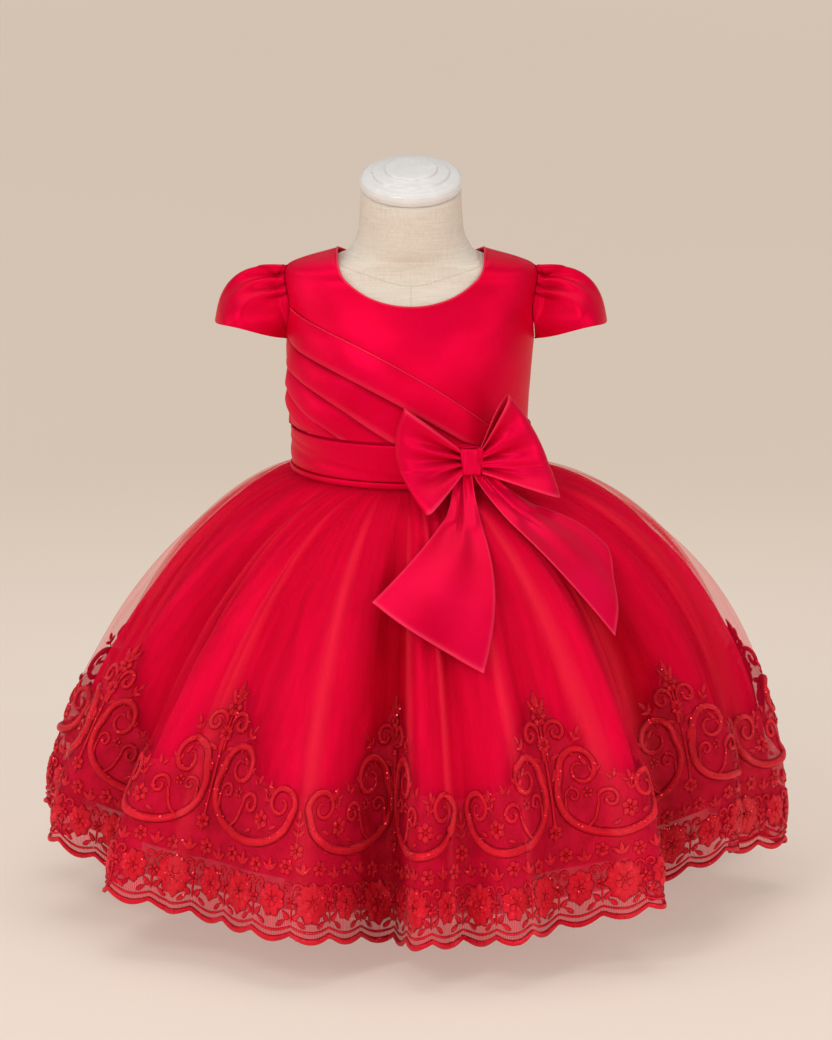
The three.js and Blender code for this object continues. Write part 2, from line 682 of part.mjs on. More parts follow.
// A tail leaves the underside of the knot in soft pleats and lies over the skirt to a slanted end.
const TAIL_ROWS = 9;
const TAIL_COLUMNS = 8;
function tailPoint(tail, down, across) {
  const root = bowPoint(
    tail.rootX + 5 * across,
    -KNOT.halfHeight - 0.4,
    1 + 1.5 * Math.cos(3 * Math.PI * across),
  );
  const azimuth = lerp(tail.left.azimuth, tail.right.azimuth, (across + 1) / 2);
  const along = lerp(tail.left.along, tail.right.along, (across + 1) / 2);
  const start = THREE.MathUtils.radToDeg(Math.atan2(root.x, -root.y));
  const drift = down ** 0.85;
  const out = tail.out * (0.5 + 0.5 * down ** 0.5) + 3 * Math.cos(3 * Math.PI * across) * (1 - down) ** 2;
  const lying = domePoint(lerp(start, azimuth, drift), lerp(0.03, along, down), out);
  return root.lerp(lying, ease(clamp(down / 0.3, 0, 1)));
}

function bowTail(tail) {
  const surface = (share, up) => tailPoint(tail, clamp(1 - up, 0, 1), 2 * share - 1);
  return piece(tail.name, sheet(surface, steps(TAIL_COLUMNS), steps(TAIL_ROWS), SATIN), SATIN_RED);
}

// Dress form: torso and neck in one, the turned cap, the pole and the base.
function formBody() {
  const around = 30;
  const rings = BODY.map(({ z }) =>
    Array.from({ length: around }, (_, i) => {
      const angle = (360 * i) / around;
      const ease = lerp(FORM_EASE, SHOULDER_EASE, Math.sin(rad(angle)) ** 6);
      return onForm(angle, z, -ease * clamp((495 - z) / 12, 0, 1));
    }),
  );
  return piece("form_body", loft(rings), LINEN);
}

function turned(profile, segments) {
  const points = profile.map(([radius, height]) => new THREE.Vector2(radius, height));
  return new THREE.LatheGeometry(points, segments).rotateX(Math.PI / 2);
}

function neckCap() {
  const profile = [
    [0, 0],
    [35.5, 0],
    [37.3, 1.6],
    [38, 5],
    [37.2, 8.6],
    [34.5, 10.8],
    [28.5, 11.6],
    [27.6, 13.4],
    [19.4, 14.2],
    [18.4, 16.2],
    [0, 17],
  ];
  const mesh = piece("neck_cap", turned(profile, 30), WHITE_LACQUER);
  const top = BODY[BODY.length - 1];
  mesh.position.set(0, top.centre, top.z + 0.3);
  mesh.rotation.x = rad(NECK_TILT);
  return mesh;
}

function stand() {
  const pole = turned(
    [
      [0, BASE_HEIGHT + 0.3],
      [POLE_RADIUS, BASE_HEIGHT + 0.3],
      [POLE_RADIUS, FORM_FOOT - 0.3],
      [0, FORM_FOOT - 0.3],
    ],
    16,
  );
  const base = turned(
    [
      [0, 0],
      [BASE_RADIUS - 2, 0],
      [BASE_RADIUS, 2],
      [BASE_RADIUS, BASE_HEIGHT - 6],
      [BASE_RADIUS - 3, BASE_HEIGHT - 2],
      [BASE_RADIUS - 9, BASE_HEIGHT],
      [0, BASE_HEIGHT],
    ],
    36,
  );
  return [piece("form_pole", pole, STEEL), piece("form_base", base, WHITE_LACQUER)];
}

const dress = new THREE.Group();
dress.add(
  ...bodice(),
  drapedPanel(),
  sleeve("sleeve_left", -1),
  sleeve("sleeve_right", 1),
  sashBand("sash", SASH, 40),
  sashBand("sash_fold", SASH_FOLD, 40),
  ...skirt(),
  ...LOOPS.map(bowLoop),
  knot(),
  ...TAILS.map(bowTail),
  formBody(),
  neckCap(),
  ...stand(),
);
export default dress;
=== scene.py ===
# A toddler's party dress of red satin, tulle and corded lace, on a small limbless dress form.
# Shapes are worked out in millimetres and stored in metres, in the part's own frame: +Z is up, -Y is
# the front, and the origin lies under the middle of the form's base. Angles round the body and the
# skirt are in degrees, from the front towards +X.
import math

import bpy
import numpy as np
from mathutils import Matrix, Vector


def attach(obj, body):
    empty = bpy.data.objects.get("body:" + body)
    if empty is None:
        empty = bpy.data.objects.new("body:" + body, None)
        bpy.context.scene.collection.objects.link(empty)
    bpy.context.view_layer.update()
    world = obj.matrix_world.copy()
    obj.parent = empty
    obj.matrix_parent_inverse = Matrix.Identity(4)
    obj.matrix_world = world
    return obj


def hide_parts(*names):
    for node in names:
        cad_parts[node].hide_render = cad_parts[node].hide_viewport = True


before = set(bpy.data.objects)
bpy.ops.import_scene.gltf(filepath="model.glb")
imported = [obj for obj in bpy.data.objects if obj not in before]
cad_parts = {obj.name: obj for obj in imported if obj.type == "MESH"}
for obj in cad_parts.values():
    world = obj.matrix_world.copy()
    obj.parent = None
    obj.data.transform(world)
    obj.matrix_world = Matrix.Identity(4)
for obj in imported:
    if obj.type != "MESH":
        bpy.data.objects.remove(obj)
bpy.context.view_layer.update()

MM = 0.001

# Cloth and seams. SATIN is the thickness of a satin wall, BODICE_OUT how far the bodice's outside
# lies off the body, and the rest are heights.
SATIN = 1.0
BODICE_OUT = 1.9
WAIST = 336.5
FLARE = 324.0
HEM = 35.0
UNDERARM = 424.0
SHOULDER_TIP = 477.5
NECK_SIDE = 488.0
NECK_FRONT = 456.0
NECK_BACK = 474.0

# Skirt. GAP, in folds, keeps its front and back pieces apart at the side seams. A share or an
# "along" is 0 at the waist and 1 at the hem.
FRONT = 8
GAP = 0.0006
HEM_HALF_WIDTH = 268.0
HEM_HALF_DEPTH = 262.0
LINING_HEM = 0.9
INNER_TULLE_HEM = 0.955
REPEATS = 11
FRONT_REPEATS = 6
LACE_LOW = 98.0
LACE_PEAK = 172.0
SKIRT_LENGTH = 360.0
SCALLOPS = 6
SCALLOP_DEPTH = 6.0
VALLEY_SHARE = 0.55
LACE_START = 0.28
WAIST_OUT = 3.0
GATHER_HEIGHT = 3.2
LINING_THICKNESS = 0.6

# Dress form
FORM_FOOT = 150.0
NECK_TOP = 538.5
NECK_TILT = 13.0
NECK_CENTRE = -13.0
FORM_EASE = 0.8
SHOULDER_EASE = 6.6
POLE_RADIUS = 11.0
BASE_RADIUS = 96.0
BASE_HEIGHT = 14.0
FORM_GAP = 0.3

# Camera: a distance in metres, and degrees above the horizontal
CAMERA_DISTANCE = 6.0
CAMERA_HEIGHT = 14.0
PICTURE_HEIGHT = 0.7738

# Soft lights: place, target, width and height in metres, and watts
LIGHTS = {
    "key": ((-1.5, -2.6, 2.6), (0, 0, 0.25), (1.1, 1.1), 34),
    "fill": ((4.8, -4.4, 2.6), (0, 0, 0.25), (3.6, 3.6), 98),
    "left fill": ((-6.0, -2.0, 2.0), (0, 0, 0.2), (2.4, 2.4), 54),
    "low front": ((0.6, -7.0, 1.5), (0, 0, 0.15), (3.2, 1.6), 66),
    "overhead": ((0, 0.2, 3.0), (0, 0, 0.2), (2.4, 2.4), 26),
}

# The body's outline with height: half sizes, where its middle lies, and how far it leans back
BODY_COLUMNS = ("z", "half_width", "half_depth", "centre", "lean")
BODY = [
    (150, 77, 60, -2, 0),
    (168, 82, 67, -2, 0),
    (240, 84.5, 71, -2, 0),
    (300, 84.5, 70, -2, 0),
    (336, 84, 69, -2, 0),
    (365, 84.5, 70, -2, 0),
    (395, 86.5, 71, -1, 0),
    (418, 88.5, 69, 0, 0),
    (436, 90.5, 64, 1, 0),
    (450, 92, 57, 2, 0),
    (462, 92.6, 49, 2, 0),
    (471, 92, 41.5, 1, 0),
    (477, 89.5, 38.6, -0.4, 0),
    (481.5, 79, 37.6, -1.6, 0),
    (485, 66, 37.4, -2.6, 0.3),
    (489, 52, 37.4, -3.4, 1),
    (495, 43.5, 37.8, -5, 3),
    (504, 39.5, 38, -7.2, 6),
    (516, 38, 37.8, -9.4, 9),
    (NECK_TOP, 37, 37, NECK_CENTRE, NECK_TILT),
]

# Folds of the skirt: azimuths at hem and waist, reach of ridge and valley, where the valley lies,
# fullness below the waist, and lift of the hem.
FOLD_COLUMNS = ("azimuth", "at_waist", "ridge", "valley", "at", "swell", "lift")
FOLDS = [
    (-98, -92, 10, 24, 0.5, -9, 22),
    (-75, -60, 9, 28, 0.6, -9, 25),
    (-51, -32, 18, 10, 0.42, -5, 12),
    (-19, -14, 15, 50, 0.7, 0, 3),
    (2, 2, 8, 15, 0.55, 0, 0),
    (15, 13, 14, 12, 0.4, 4, 2),
    (40, 33, 17, 46, 0.3, 10, 14),
    (67, 60, -8, 26, 0.45, 18, 30),
    (90, 86, 12, 34, 0.45, 20, 0),
    (112, 112, 12, 22, 0.6, 16, 4),
    (136, 138, 8, 38, 0.4, 8, 12),
    (157, 160, 13, 28, 0.55, 4, 6),
    (178, 180, 9, 42, 0.62, 0, 2),
    (199, 201, 12, 20, 0.45, 0, 8),
    (222, 224, 8, 38, 0.55, 0, 12),
    (242, 246, 11, 26, 0.4, -5, 20),
]
COUNT = len(FOLDS)

# Pleat edges of the draped panel, from an angle and height at the side seam to their ends by the
# bow. "bend" bows an edge up.
PLEATS = [
    {"angle": -69, "z": 450, "end_x": 54, "end_z": 371, "bend": 14},
    {"angle": -79, "z": 428, "end_x": 36, "end_z": 361, "bend": 12},
    {"angle": -86, "z": 412, "end_x": -13, "end_z": 360.6, "bend": 7},
    {"angle": -86, "z": 400, "end_x": -50, "end_z": 360.4, "bend": 0},
    {"angle": -86, "z": 389, "end_x": -72, "end_z": 360.2, "bend": -5},
    {"angle": -86, "z": 360, "end_x": -84, "end_z": 360, "bend": 0},
]

# Bow: where its knot sits and the way it faces. The loops' corners are measured from the knot, and
# each tail's are an angle and a share down the skirt. "cut" is a tail's area in square metres.
BOW = {"x": 44.0, "y": -78.6, "z": 348.0, "facing": 12.0}
KNOT = {"half_width": 8.5, "half_height": 10.0, "depth": 11.0}
LOOPS = [
    {"name": "bow_loop_left", "side": -1, "top": (-50, 42), "bottom": (-40, -32), "bulge": 11},
    {"name": "bow_loop_right", "side": 1, "top": (28, 49), "bottom": (62, -25), "bulge": 7},
]
TAILS = [
    {
        "name": "bow_tail_left",
        "root_x": -6,
        "out": 16,
        "left": (-9, 0.3),
        "right": (14, 0.46),
        "cut": 0.0085,
    },
    {
        "name": "bow_tail_right",
        "root_x": 7,
        "out": 25,
        "left": (43, 0.41),
        "right": (56, 0.21),
        "cut": 0.0058,
    },
]

TWO_PI = 2 * math.pi


def lerp(a, b, t):
    """The value t of the way from a to b."""
    return a + (b - a) * t


def ease(x):
    """A soft step from 0 to 1."""
    x = np.clip(x, 0, 1)
    return x * x * (3 - 2 * x)


def column(key, z):
    """One column of the body's table at heights z, on a smooth curve through its rows."""
    table = np.array(BODY, float)
    zs = table[:, 0]
    values = table[:, BODY_COLUMNS.index(key)]
    slopes = np.zeros(len(zs))
    slopes[1:-1] = (values[2:] - values[:-2]) / (zs[2:] - zs[:-2])
    z = np.asarray(z, float)
    k = np.clip(np.searchsorted(zs, z, side="left") - 1, 0, len(zs) - 2)
    span = zs[k + 1] - zs[k]
    t = np.clip((z - zs[k]) / span, 0, 1)
    h = t * t * (3 - 2 * t)
    rise = slopes[k] * span * t * (1 - t) ** 2 - slopes[k + 1] * span * t * t * (1 - t)
    return values[k] * (1 - h) + values[k + 1] * h + rise


def form_point(angle, z):
    """A point of the body's surface."""
    a = np.radians(angle)
    y = -column("half_depth", z) * np.cos(a)
    lean = np.tan(np.radians(column("lean", z)))
    x = column("half_width", z) * np.sin(a)
    return np.stack(np.broadcast_arrays(x, column("centre", z) + y, z + y * lean), -1)


def unit(v):
    return v / np.maximum(np.linalg.norm(v, axis=-1, keepdims=True), 1e-9)


def on_form(angle, z, out):
    """A point that lies out from the body's surface."""
    angle, z, out = np.broadcast_arrays(angle, z, out)
    across = form_point(angle + 0.5, z) - form_point(angle - 0.5, z)
    up = form_point(angle, z + 0.25) - form_point(angle, z - 0.25)
    return form_point(angle, z) + unit(np.cross(across, up)) * np.asarray(out)[..., None]


def angle_at(x, z):
    """The angle at which the body's front is x from its middle."""
    return np.degrees(np.arcsin(np.clip(x / column("half_width", z), -1, 1)))


# The skirt's cloth


def fold_at(place):
    """The folds' values at places: a fold's number and the share along its cloth."""
    table = np.array(FOLDS, float)
    i = np.floor(place).astype(int)
    w = place - i
    here = dict(zip(FOLD_COLUMNS, np.moveaxis(table[i % COUNT], -1, 0)))
    after = dict(zip(FOLD_COLUMNS, np.moveaxis(table[(i + 1) % COUNT], -1, 0)))
    turns = 360.0 * ((i + 1) // COUNT - i // COUNT)
    down = w < VALLEY_SHARE
    share = np.where(down, w / VALLEY_SHARE, (w - VALLEY_SHARE) / (1 - VALLEY_SHARE))
    along = np.where(down, here["at"] * share, lerp(here["at"], 1, share))
    low = -here["valley"]
    relief = np.where(
        down, lerp(here["ridge"], low, ease(share)), lerp(low, after["ridge"], ease(share))
    )
    return {
        "azimuth": lerp(here["azimuth"], after["azimuth"] + turns, along),
        "at_waist": lerp(here["at_waist"], after["at_waist"] + turns, along),
        "relief": relief,
        "swell": lerp(here["swell"], after["swell"], along),
        "lift": lerp(here["lift"], after["lift"], along),
        "w": w,
    }


def radius_of(half_width, half_depth, azimuth):
    """An ellipse's radius at an angle."""
    a = np.radians(azimuth)
    return 1 / np.hypot(np.sin(a) / half_width, np.cos(a) / half_depth)


def dome_point(azimuth, along, out):
    """A point out from the skirt's dome before it has any folds."""
    drop = along**1.35
    spread = (1 - (1 - drop) ** 1.85) ** 0.66
    waist = radius_of(
        column("half_width", FLARE) + WAIST_OUT, column("half_depth", FLARE) + WAIST_OUT, azimuth
    )
    radius = lerp(waist, radius_of(HEM_HALF_WIDTH, HEM_HALF_DEPTH, azimuth), spread) + out
    a = np.radians(azimuth)
    centre = lerp(column("centre", FLARE), 0, spread)
    x = radius * np.sin(a)
    y = centre - radius * np.cos(a)
    return np.stack(np.broadcast_arrays(x, y, lerp(FLARE, HEM, drop)), -1)


def fine_gathers(place, along, seed, height):
    """Small uneven gathers that run down from the waist and die out."""
    waves = np.random.default_rng(seed)
    total = 0
    for _ in range(9):
        turns = waves.integers(20, 76)
        reach = waves.uniform(0.2, 0.75)
        fade = np.clip(along / 0.04, 0, 1) * np.clip(1 - along / reach, 0, 1)
        drift = waves.uniform(-0.25, 0.25)
        phase = waves.uniform(0, TWO_PI)
        wave = np.cos(TWO_PI * turns * (place / COUNT) + phase + drift * along * 6)
        total = total + fade * wave * (60 / turns) ** 0.7
    return height * total / 2.2


# Turned edges of tulle: place round the skirt, height, width in places and reach down the skirt.
TURNED_EDGES = [
    (0.35, 4.5, 0.30, 1.0),
    (1.62, 5.5, 0.35, 1.0),
    (2.25, 6.0, 0.30, 1.0),
    (2.93, 5.0, 0.25, 1.0),
    (3.72, 4.0, 0.22, 0.9),
    (4.25, 5.0, 0.30, 1.0),
    (5.10, 5.5, 0.32, 1.0),
    (5.72, 5.0, 0.28, 0.95),
    (6.45, 6.0, 0.30, 1.0),
    (7.55, 4.5, 0.30, 1.0),
    (8.60, 5.5, 0.32, 1.0),
    (9.45, 4.5, 0.28, 0.9),
    (10.70, 6.0, 0.34, 1.0),
    (11.60, 5.0, 0.28, 1.0),
    (12.55, 5.5, 0.30, 1.0),
    (13.40, 4.5, 0.26, 0.95),
    (14.65, 5.5, 0.32, 1.0),
    (15.50, 4.5, 0.28, 1.0),
]


def past_edge(place, along, at):
    """How far a place lies past a turned edge, which drifts round a little on its way down."""
    return np.mod(np.mod(place, COUNT) - at - 0.12 * along + COUNT / 2, COUNT) - COUNT / 2


def turned_edges(place, along):
    """The small step that each turned edge makes in the tulle."""
    total = 0
    for at, height, width, reach in TURNED_EDGES:
        off = past_edge(place, along, at)
        edge = ease((off + 0.03) / 0.05) * np.exp(-np.clip(off, 0, None) / width)
        fade = ease(along / 0.12) * ease((reach - along) / 0.3 + 1) * (1 - 0.55 * along)
        total = total + height * edge * fade
    return total


def fold_light_marks(place, along):
    """Marks for painted light: how far out the cloth lies between valley and ridge, which the materials
    paint as shade in the valleys and light on the ridges, and how near it is to a turned edge, which they
    paint as a highlight.
    """
    fold = fold_at(place)
    height = (fold["relief"] + 34) / 50
    ridge = lerp(0.66, np.clip(height, 0, 1) ** 0.7, ease(along / 0.45))
    turned = 0
    for at, height, _, _ in TURNED_EDGES:
        off = past_edge(place, along, at)
        strip = ease((off + 0.03) / 0.03) * (1 - ease((off - 0.02) / 0.1))
        turned = turned + strip * ease(along / 0.2) * (0.5 + height / 12)
    return {"ridge": ridge, "turned": np.clip(turned, 0, 1)}


def folded_point(place, along, ridges=1.0, under=0.0, gathers=1.0, seed=3, fine=0.6):
    """A point of the folded skirt. An inner layer has less of the ridges and lies under by some mm."""
    fold = fold_at(place)
    along = np.clip(along, 0, 1)
    azimuth = lerp(fold["at_waist"], fold["azimuth"], np.sqrt(along))
    relief = np.minimum(fold["relief"], fold["relief"] * ridges) * along**1.15
    swell = fold["swell"] * np.sin(np.pi * along**0.7)
    reach = np.clip(along / 0.62, 0, 1)
    gather = GATHER_HEIGHT * np.sin(np.pi * reach) * np.cos(6 * np.pi * fold["w"]) * gathers
    small = fine_gathers(place, along, seed, fine)
    small = small + turned_edges(place, along) * min(1, fine / 0.6)
    p = dome_point(azimuth, along, relief + swell + gather + small - under)
    p[..., 2] += along * along * fold["lift"] + 0.2 * relief * along
    return p


# How far round the lace each place lies, in repeats, by the hem's own length.
SAMPLES = np.linspace(0, COUNT, COUNT * 72 + 1)


def lengths_round():
    """The hem's length up to each sample."""
    p = folded_point(SAMPLES, np.ones_like(SAMPLES), fine=0.0)
    steps = np.linalg.norm(np.diff(p, axis=0), axis=1)
    return np.concatenate([[0], np.cumsum(steps)])


HEM_LENGTHS = lengths_round()
HEM_ROUND = HEM_LENGTHS[-1]
REPEAT_OF_SAMPLE = REPEATS * HEM_LENGTHS / HEM_ROUND + LACE_START
REPEAT_WIDTH = HEM_ROUND / REPEATS


def repeat_at(place):
    """Repeats of the lace at a place, counted from the first one's middle."""
    turns = np.floor(np.asarray(place) / COUNT)
    return np.interp(place - turns * COUNT, SAMPLES, REPEAT_OF_SAMPLE) + turns * REPEATS


def place_at(repeat):
    """The place round the skirt at which some repeats of the lace end."""
    turns = np.floor((np.asarray(repeat) - LACE_START) / REPEATS)
    return np.interp(repeat - turns * REPEATS, REPEAT_OF_SAMPLE, SAMPLES) + turns * COUNT


def lace_height(repeat):
    """The border's height, which rises to a spire in the middle of each repeat."""
    off = np.abs(repeat - np.round(repeat)) * 2
    spire = np.clip(1 - off / 0.42, 0, 1) ** 1.3
    return LACE_LOW + (LACE_PEAK - LACE_LOW) * (0.78 * spire + 0.22 * (1 - ease(off)))


def lace_point(repeat, height, out=0.0):
    """A point of the lace: repeats round the hem, mm up from its edge and mm off the net."""
    place = place_at(repeat)
    along = 1 - height / SKIRT_LENGTH
    p = folded_point(place, along)
    edge = np.clip(1 - 4 * height / lace_height(repeat), 0, 1)
    p[..., 2] -= SCALLOP_DEPTH * np.abs(np.sin(np.pi * SCALLOPS * repeat)) * edge
    if np.isscalar(out) and out == 0:
        return p
    across = folded_point(place + 0.01, along) - folded_point(place - 0.01, along)
    up = folded_point(place, along - 0.005) - folded_point(place, along + 0.005)
    normal = unit(np.cross(across, up))
    return p + normal * np.asarray(out)[..., None]


# Making meshes

COLLECTION = bpy.context.scene.collection


def make(name, points, faces, uv):
    """A mesh object from points in mm; uv holds one pair for each point, in cm of cloth."""
    mesh = bpy.data.meshes.new(name)
    mesh.from_pydata((np.asarray(points) * MM).tolist(), [], [list(map(int, f)) for f in faces])
    layer = mesh.uv_layers.new(name="cloth")
    index = np.empty(len(mesh.loops), dtype=np.int32)
    mesh.loops.foreach_get("vertex_index", index)
    layer.data.foreach_set("uv", np.asarray(uv, float)[index].ravel())
    mesh.polygons.foreach_set("use_smooth", [True] * len(mesh.polygons))
    mesh.update()
    piece = bpy.data.objects.new(name.replace(" ", "_"), mesh)
    COLLECTION.objects.link(piece)
    return piece


def mark(piece, **marks):
    """Numbers kept at the points of a piece, for its material to read."""
    for name, values in marks.items():
        values = np.asarray(values, float).ravel()
        copies = len(piece.data.vertices) // len(values)
        layer = piece.data.attributes.new(name, "FLOAT", "POINT")
        layer.data.foreach_set("value", np.tile(values, copies))
    return piece


def grid_faces(columns, rows, start=0, closed=False, flip=False):
    """Quads between the points of a grid, which is a ring when it is closed."""
    spans = columns if closed else columns - 1
    j, i = np.meshgrid(np.arange(rows - 1), np.arange(spans), indexing="ij")
    n = (i + 1) % columns
    a = j * columns + i
    b = j * columns + n
    faces = np.stack([a, b, b + columns, a + columns], -1).reshape(-1, 4) + start
    return faces[:, ::-1] if flip else faces


def normals_of(points):
    across = np.gradient(points, axis=1)
    up = np.gradient(points, axis=0)
    return unit(np.cross(across, up))


def cloth_uv(points):
    """Cloth coordinates of a grid in cm, by lengths along its middle row and each column."""
    middle = points[len(points) // 2]
    across = np.concatenate([[0], np.cumsum(np.linalg.norm(np.diff(middle, axis=0), axis=1))])
    up = np.linalg.norm(np.diff(points, axis=0), axis=2)
    up = np.concatenate([np.zeros((1, points.shape[1])), np.cumsum(up, axis=0)])
    u = np.broadcast_to(across, up.shape)
    return np.stack([u, up], -1).reshape(-1, 2) / 10


def single(name, points, material):
    """One thin layer of net through a grid of points, rows from low to high."""
    rows, columns = points.shape[:2]
    faces = grid_faces(columns, rows)
    piece = make(name, points.reshape(-1, 3), faces, cloth_uv(points))
    piece.data.materials.append(material)
    return piece


def shell(name, points, thickness, material, closed=False):
    """A thin closed wall under a grid of points, rows from low to high."""
    rows, columns = points.shape[:2]
    normal = normals_of(points)
    if closed:
        across = np.roll(points, -1, axis=1) - np.roll(points, 1, axis=1)
        normal = unit(np.cross(across, np.gradient(points, axis=0)))
    inner = points - normal * thickness
    count = rows * columns
    faces = [grid_faces(columns, rows, 0, closed), grid_faces(columns, rows, count, closed, True)]
    spans = columns if closed else columns - 1
    i = np.arange(spans)
    n = (i + 1) % columns
    top = (rows - 1) * columns
    faces.append(np.stack([n, i, i + count, n + count], -1))
    faces.append(np.stack([top + i, top + n, top + n + count, top + i + count], -1))
    if not closed:
        j = np.arange(rows - 1) * columns
        k = j + columns
        end = columns - 1
        faces.append(np.stack([j, k, k + count, j + count], -1))
        faces.append(np.stack([k + end, j + end, j + end + count, k + end + count], -1))
    uv = cloth_uv(points)
    both = np.concatenate([points.reshape(-1, 3), inner.reshape(-1, 3)])
    piece = make(name, both, np.concatenate(faces), np.concatenate([uv, uv]))
    piece.data.materials.append(material)
    return piece


# Materials


class Value:
    """A shader number that can be reckoned with."""

    def __init__(self, tree, socket):
        self.tree = tree
        self.socket = socket

    def reckon(self, operation, other=None, swap=False):
        node = self.tree.nodes.new("ShaderNodeMath")
        node.operation = operation
        for slot, value in zip(node.inputs, (other, self) if swap else (self, other)):
            plug(self.tree, slot, value)
        return Value(self.tree, node.outputs[0])

    def __add__(self, other):
        return self.reckon("ADD", other)

    __radd__ = __add__

    def __sub__(self, other):
        return self.reckon("SUBTRACT", other)

    def __rsub__(self, other):
        return self.reckon("SUBTRACT", other, swap=True)

    def __mul__(self, other):
        return self.reckon("MULTIPLY", other)

    __rmul__ = __mul__

    def __truediv__(self, other):
        return self.reckon("DIVIDE", other)

    def __pow__(self, other):
        return self.reckon("POWER", other)

    def sine(self):
        return self.reckon("SINE")

    def absolute(self):
        return self.reckon("ABSOLUTE")

    def clamp(self):
        return self.reckon("MAXIMUM", 0.0).reckon("MINIMUM", 1.0)

    def ramp(self, low, high, to_low=0.0, to_high=1.0):
        """The number's way from low to high, held at both ends, as one from to_low to to_high."""
        node = self.tree.nodes.new("ShaderNodeMapRange")
        plug(self.tree, node.inputs["Value"], self)
        for key, value in zip(("From Min", "From Max", "To Min", "To Max"), (low, high, to_low, to_high)):
            node.inputs[key].default_value = value
        return Value(self.tree, node.outputs[0])


def plug(tree, slot, value):
    """Set a socket to a constant, or link it to a Value or another socket."""
    if isinstance(value, Value):
        tree.links.new(value.socket, slot)
    elif isinstance(value, (int, float, tuple)):
        slot.default_value = value
    elif value is not None:
        tree.links.new(value, slot)


class Look:
    """A material's node tree, with one method for every kind of node."""

    def __init__(self, name):
        self.material = bpy.data.materials.new(name)
        self.material.use_nodes = True
        self.tree = self.material.node_tree
        self.shader = self.tree.nodes["Principled BSDF"]

    def node(self, kind, output=0, settings=None, **inputs):
        made = self.tree.nodes.new("ShaderNode" + kind)
        for key, value in (settings or {}).items():
            setattr(made, key, value)
        for key, value in inputs.items():
            plug(self.tree, made.inputs[key.replace("_", " ")], value)
        return Value(self.tree, made.outputs[output])

    def mark(self, name):
        return self.node("Attribute", 2, {"attribute_name": name})

    def cloth(self):
        return self.node("UVMap", settings={"uv_map": "cloth"}).socket

    def place(self):
        return self.node("TexCoord", 3).socket

    def split(self, vector):
        made = self.tree.nodes.new("ShaderNodeSeparateXYZ")
        self.tree.links.new(vector, made.inputs[0])
        return [Value(self.tree, made.outputs[k]) for k in range(3)]

    def scaled(self, vector, x, y, z=1.0):
        made = self.tree.nodes.new("ShaderNodeVectorMath")
        made.operation = "MULTIPLY"
        self.tree.links.new(vector, made.inputs[0])
        made.inputs[1].default_value = (x, y, z)
        return made.outputs[0]

    def noise(self, vector, scale, detail=2.0, rough=0.5):
        return self.node("TexNoise", 0, Vector=vector, Scale=scale, Detail=detail, Roughness=rough)

    def mix(self, factor, a, b):
        made = self.tree.nodes.new("ShaderNodeMix")
        made.data_type = "RGBA"
        plug(self.tree, made.inputs[0], factor)
        plug(self.tree, made.inputs[6], a)
        plug(self.tree, made.inputs[7], b)
        return made.outputs[2]

    def bump(self, height, strength, distance, after=None):
        made = self.tree.nodes.new("ShaderNodeBump")
        made.inputs["Strength"].default_value = strength
        made.inputs["Distance"].default_value = distance
        plug(self.tree, made.inputs["Height"], height)
        if after is not None:
            self.tree.links.new(after, made.inputs["Normal"])
        return made.outputs[0]

    def set(self, **inputs):
        for key, value in inputs.items():
            plug(self.tree, self.shader.inputs[key.replace("_", " ")], value)
        return self.material


def colour(red, green, blue):
    """Screen colour in 0..255 as a linear one."""
    shares = [c / 255 for c in (red, green, blue)]
    linear = [((c + 0.055) / 1.055) ** 2.4 if c > 0.04 else c / 12.92 for c in shares]
    return (*linear, 1.0)


def satin_look(name, light, dark, rough=0.36):
    """Soft satin, with a painted highlight where its folds roll over and painted shade down in their
    valleys.
    """
    look = Look(name)
    cloth = look.cloth()
    u, v, _ = look.split(cloth)
    weave = (u * (TWO_PI * 28)).sine() * 0.6 + (v * (TWO_PI * 46)).sine() * 0.25
    slub = look.noise(look.scaled(cloth, 30, 1.2), 1.0, 3.0)
    soft = look.noise(look.place(), 16.0, 2.0)
    base = look.mix((soft * 0.75 + slub * 0.25).ramp(0.3, 0.7), dark, light)
    # painted highlight where folds roll over, then painted shade down in their valleys
    base = look.mix((look.mark("lip_highlight") * 0.5).clamp(), base, colour(255, 70, 104))
    base = look.mix((look.mark("crease") * 0.85).clamp(), base, colour(128, 0, 16))
    wrinkle = look.noise(look.scaled(look.place(), 1, 1, 0.6), 34.0, 3.0, 0.45)
    first = look.bump(wrinkle, 0.22, 0.004)
    return look.set(
        Base_Color=base,
        Metallic=0.34,
        Roughness=(slub * 0.1 + (rough - 0.03)),
        Normal=look.bump(weave, 0.1, 0.0003, first),
        Specular_IOR_Level=0.22,
        Specular_Tint=colour(255, 70, 110),
    )


def net_look(name, light, dark, low, high, streaks):
    """Sheer net: the threads are too fine to be seen, so they are an even see-through."""
    look = Look(name)
    cloth = look.cloth()
    streak = look.noise(look.scaled(cloth, streaks, 0.12), 1.0, 3.0, 0.6)
    u, v, _ = look.split(cloth)
    mesh = ((u + v * 0.577) * (TWO_PI * 9)).sine() * ((u - v * 0.577) * (TWO_PI * 9)).sine()
    # painted light on the folds' ridges and painted shade in their valleys, over a random streaky tone
    tone = (streak.ramp(0.3, 0.75) * 0.35 + look.mark("ridge") * 0.75 - 0.05).clamp()
    base = look.mix(tone, dark, light)
    # painted highlight along the turned edges; the extra alpha there is the doubled net
    base = look.mix((look.mark("turned") * 0.45).clamp(), base, colour(255, 54, 74))
    return look.set(
        Base_Color=base,
        Roughness=0.8,
        Sheen_Weight=0.05,
        Sheen_Roughness=0.5,
        Sheen_Tint=colour(255, 30, 56),
        Specular_IOR_Level=0.03,
        Alpha=(streak.ramp(0.3, 0.75, low, high) + mesh * 0.06 + look.mark("turned") * 0.14).clamp(),
        Normal=look.bump(mesh, 0.15, 0.0004),
    )


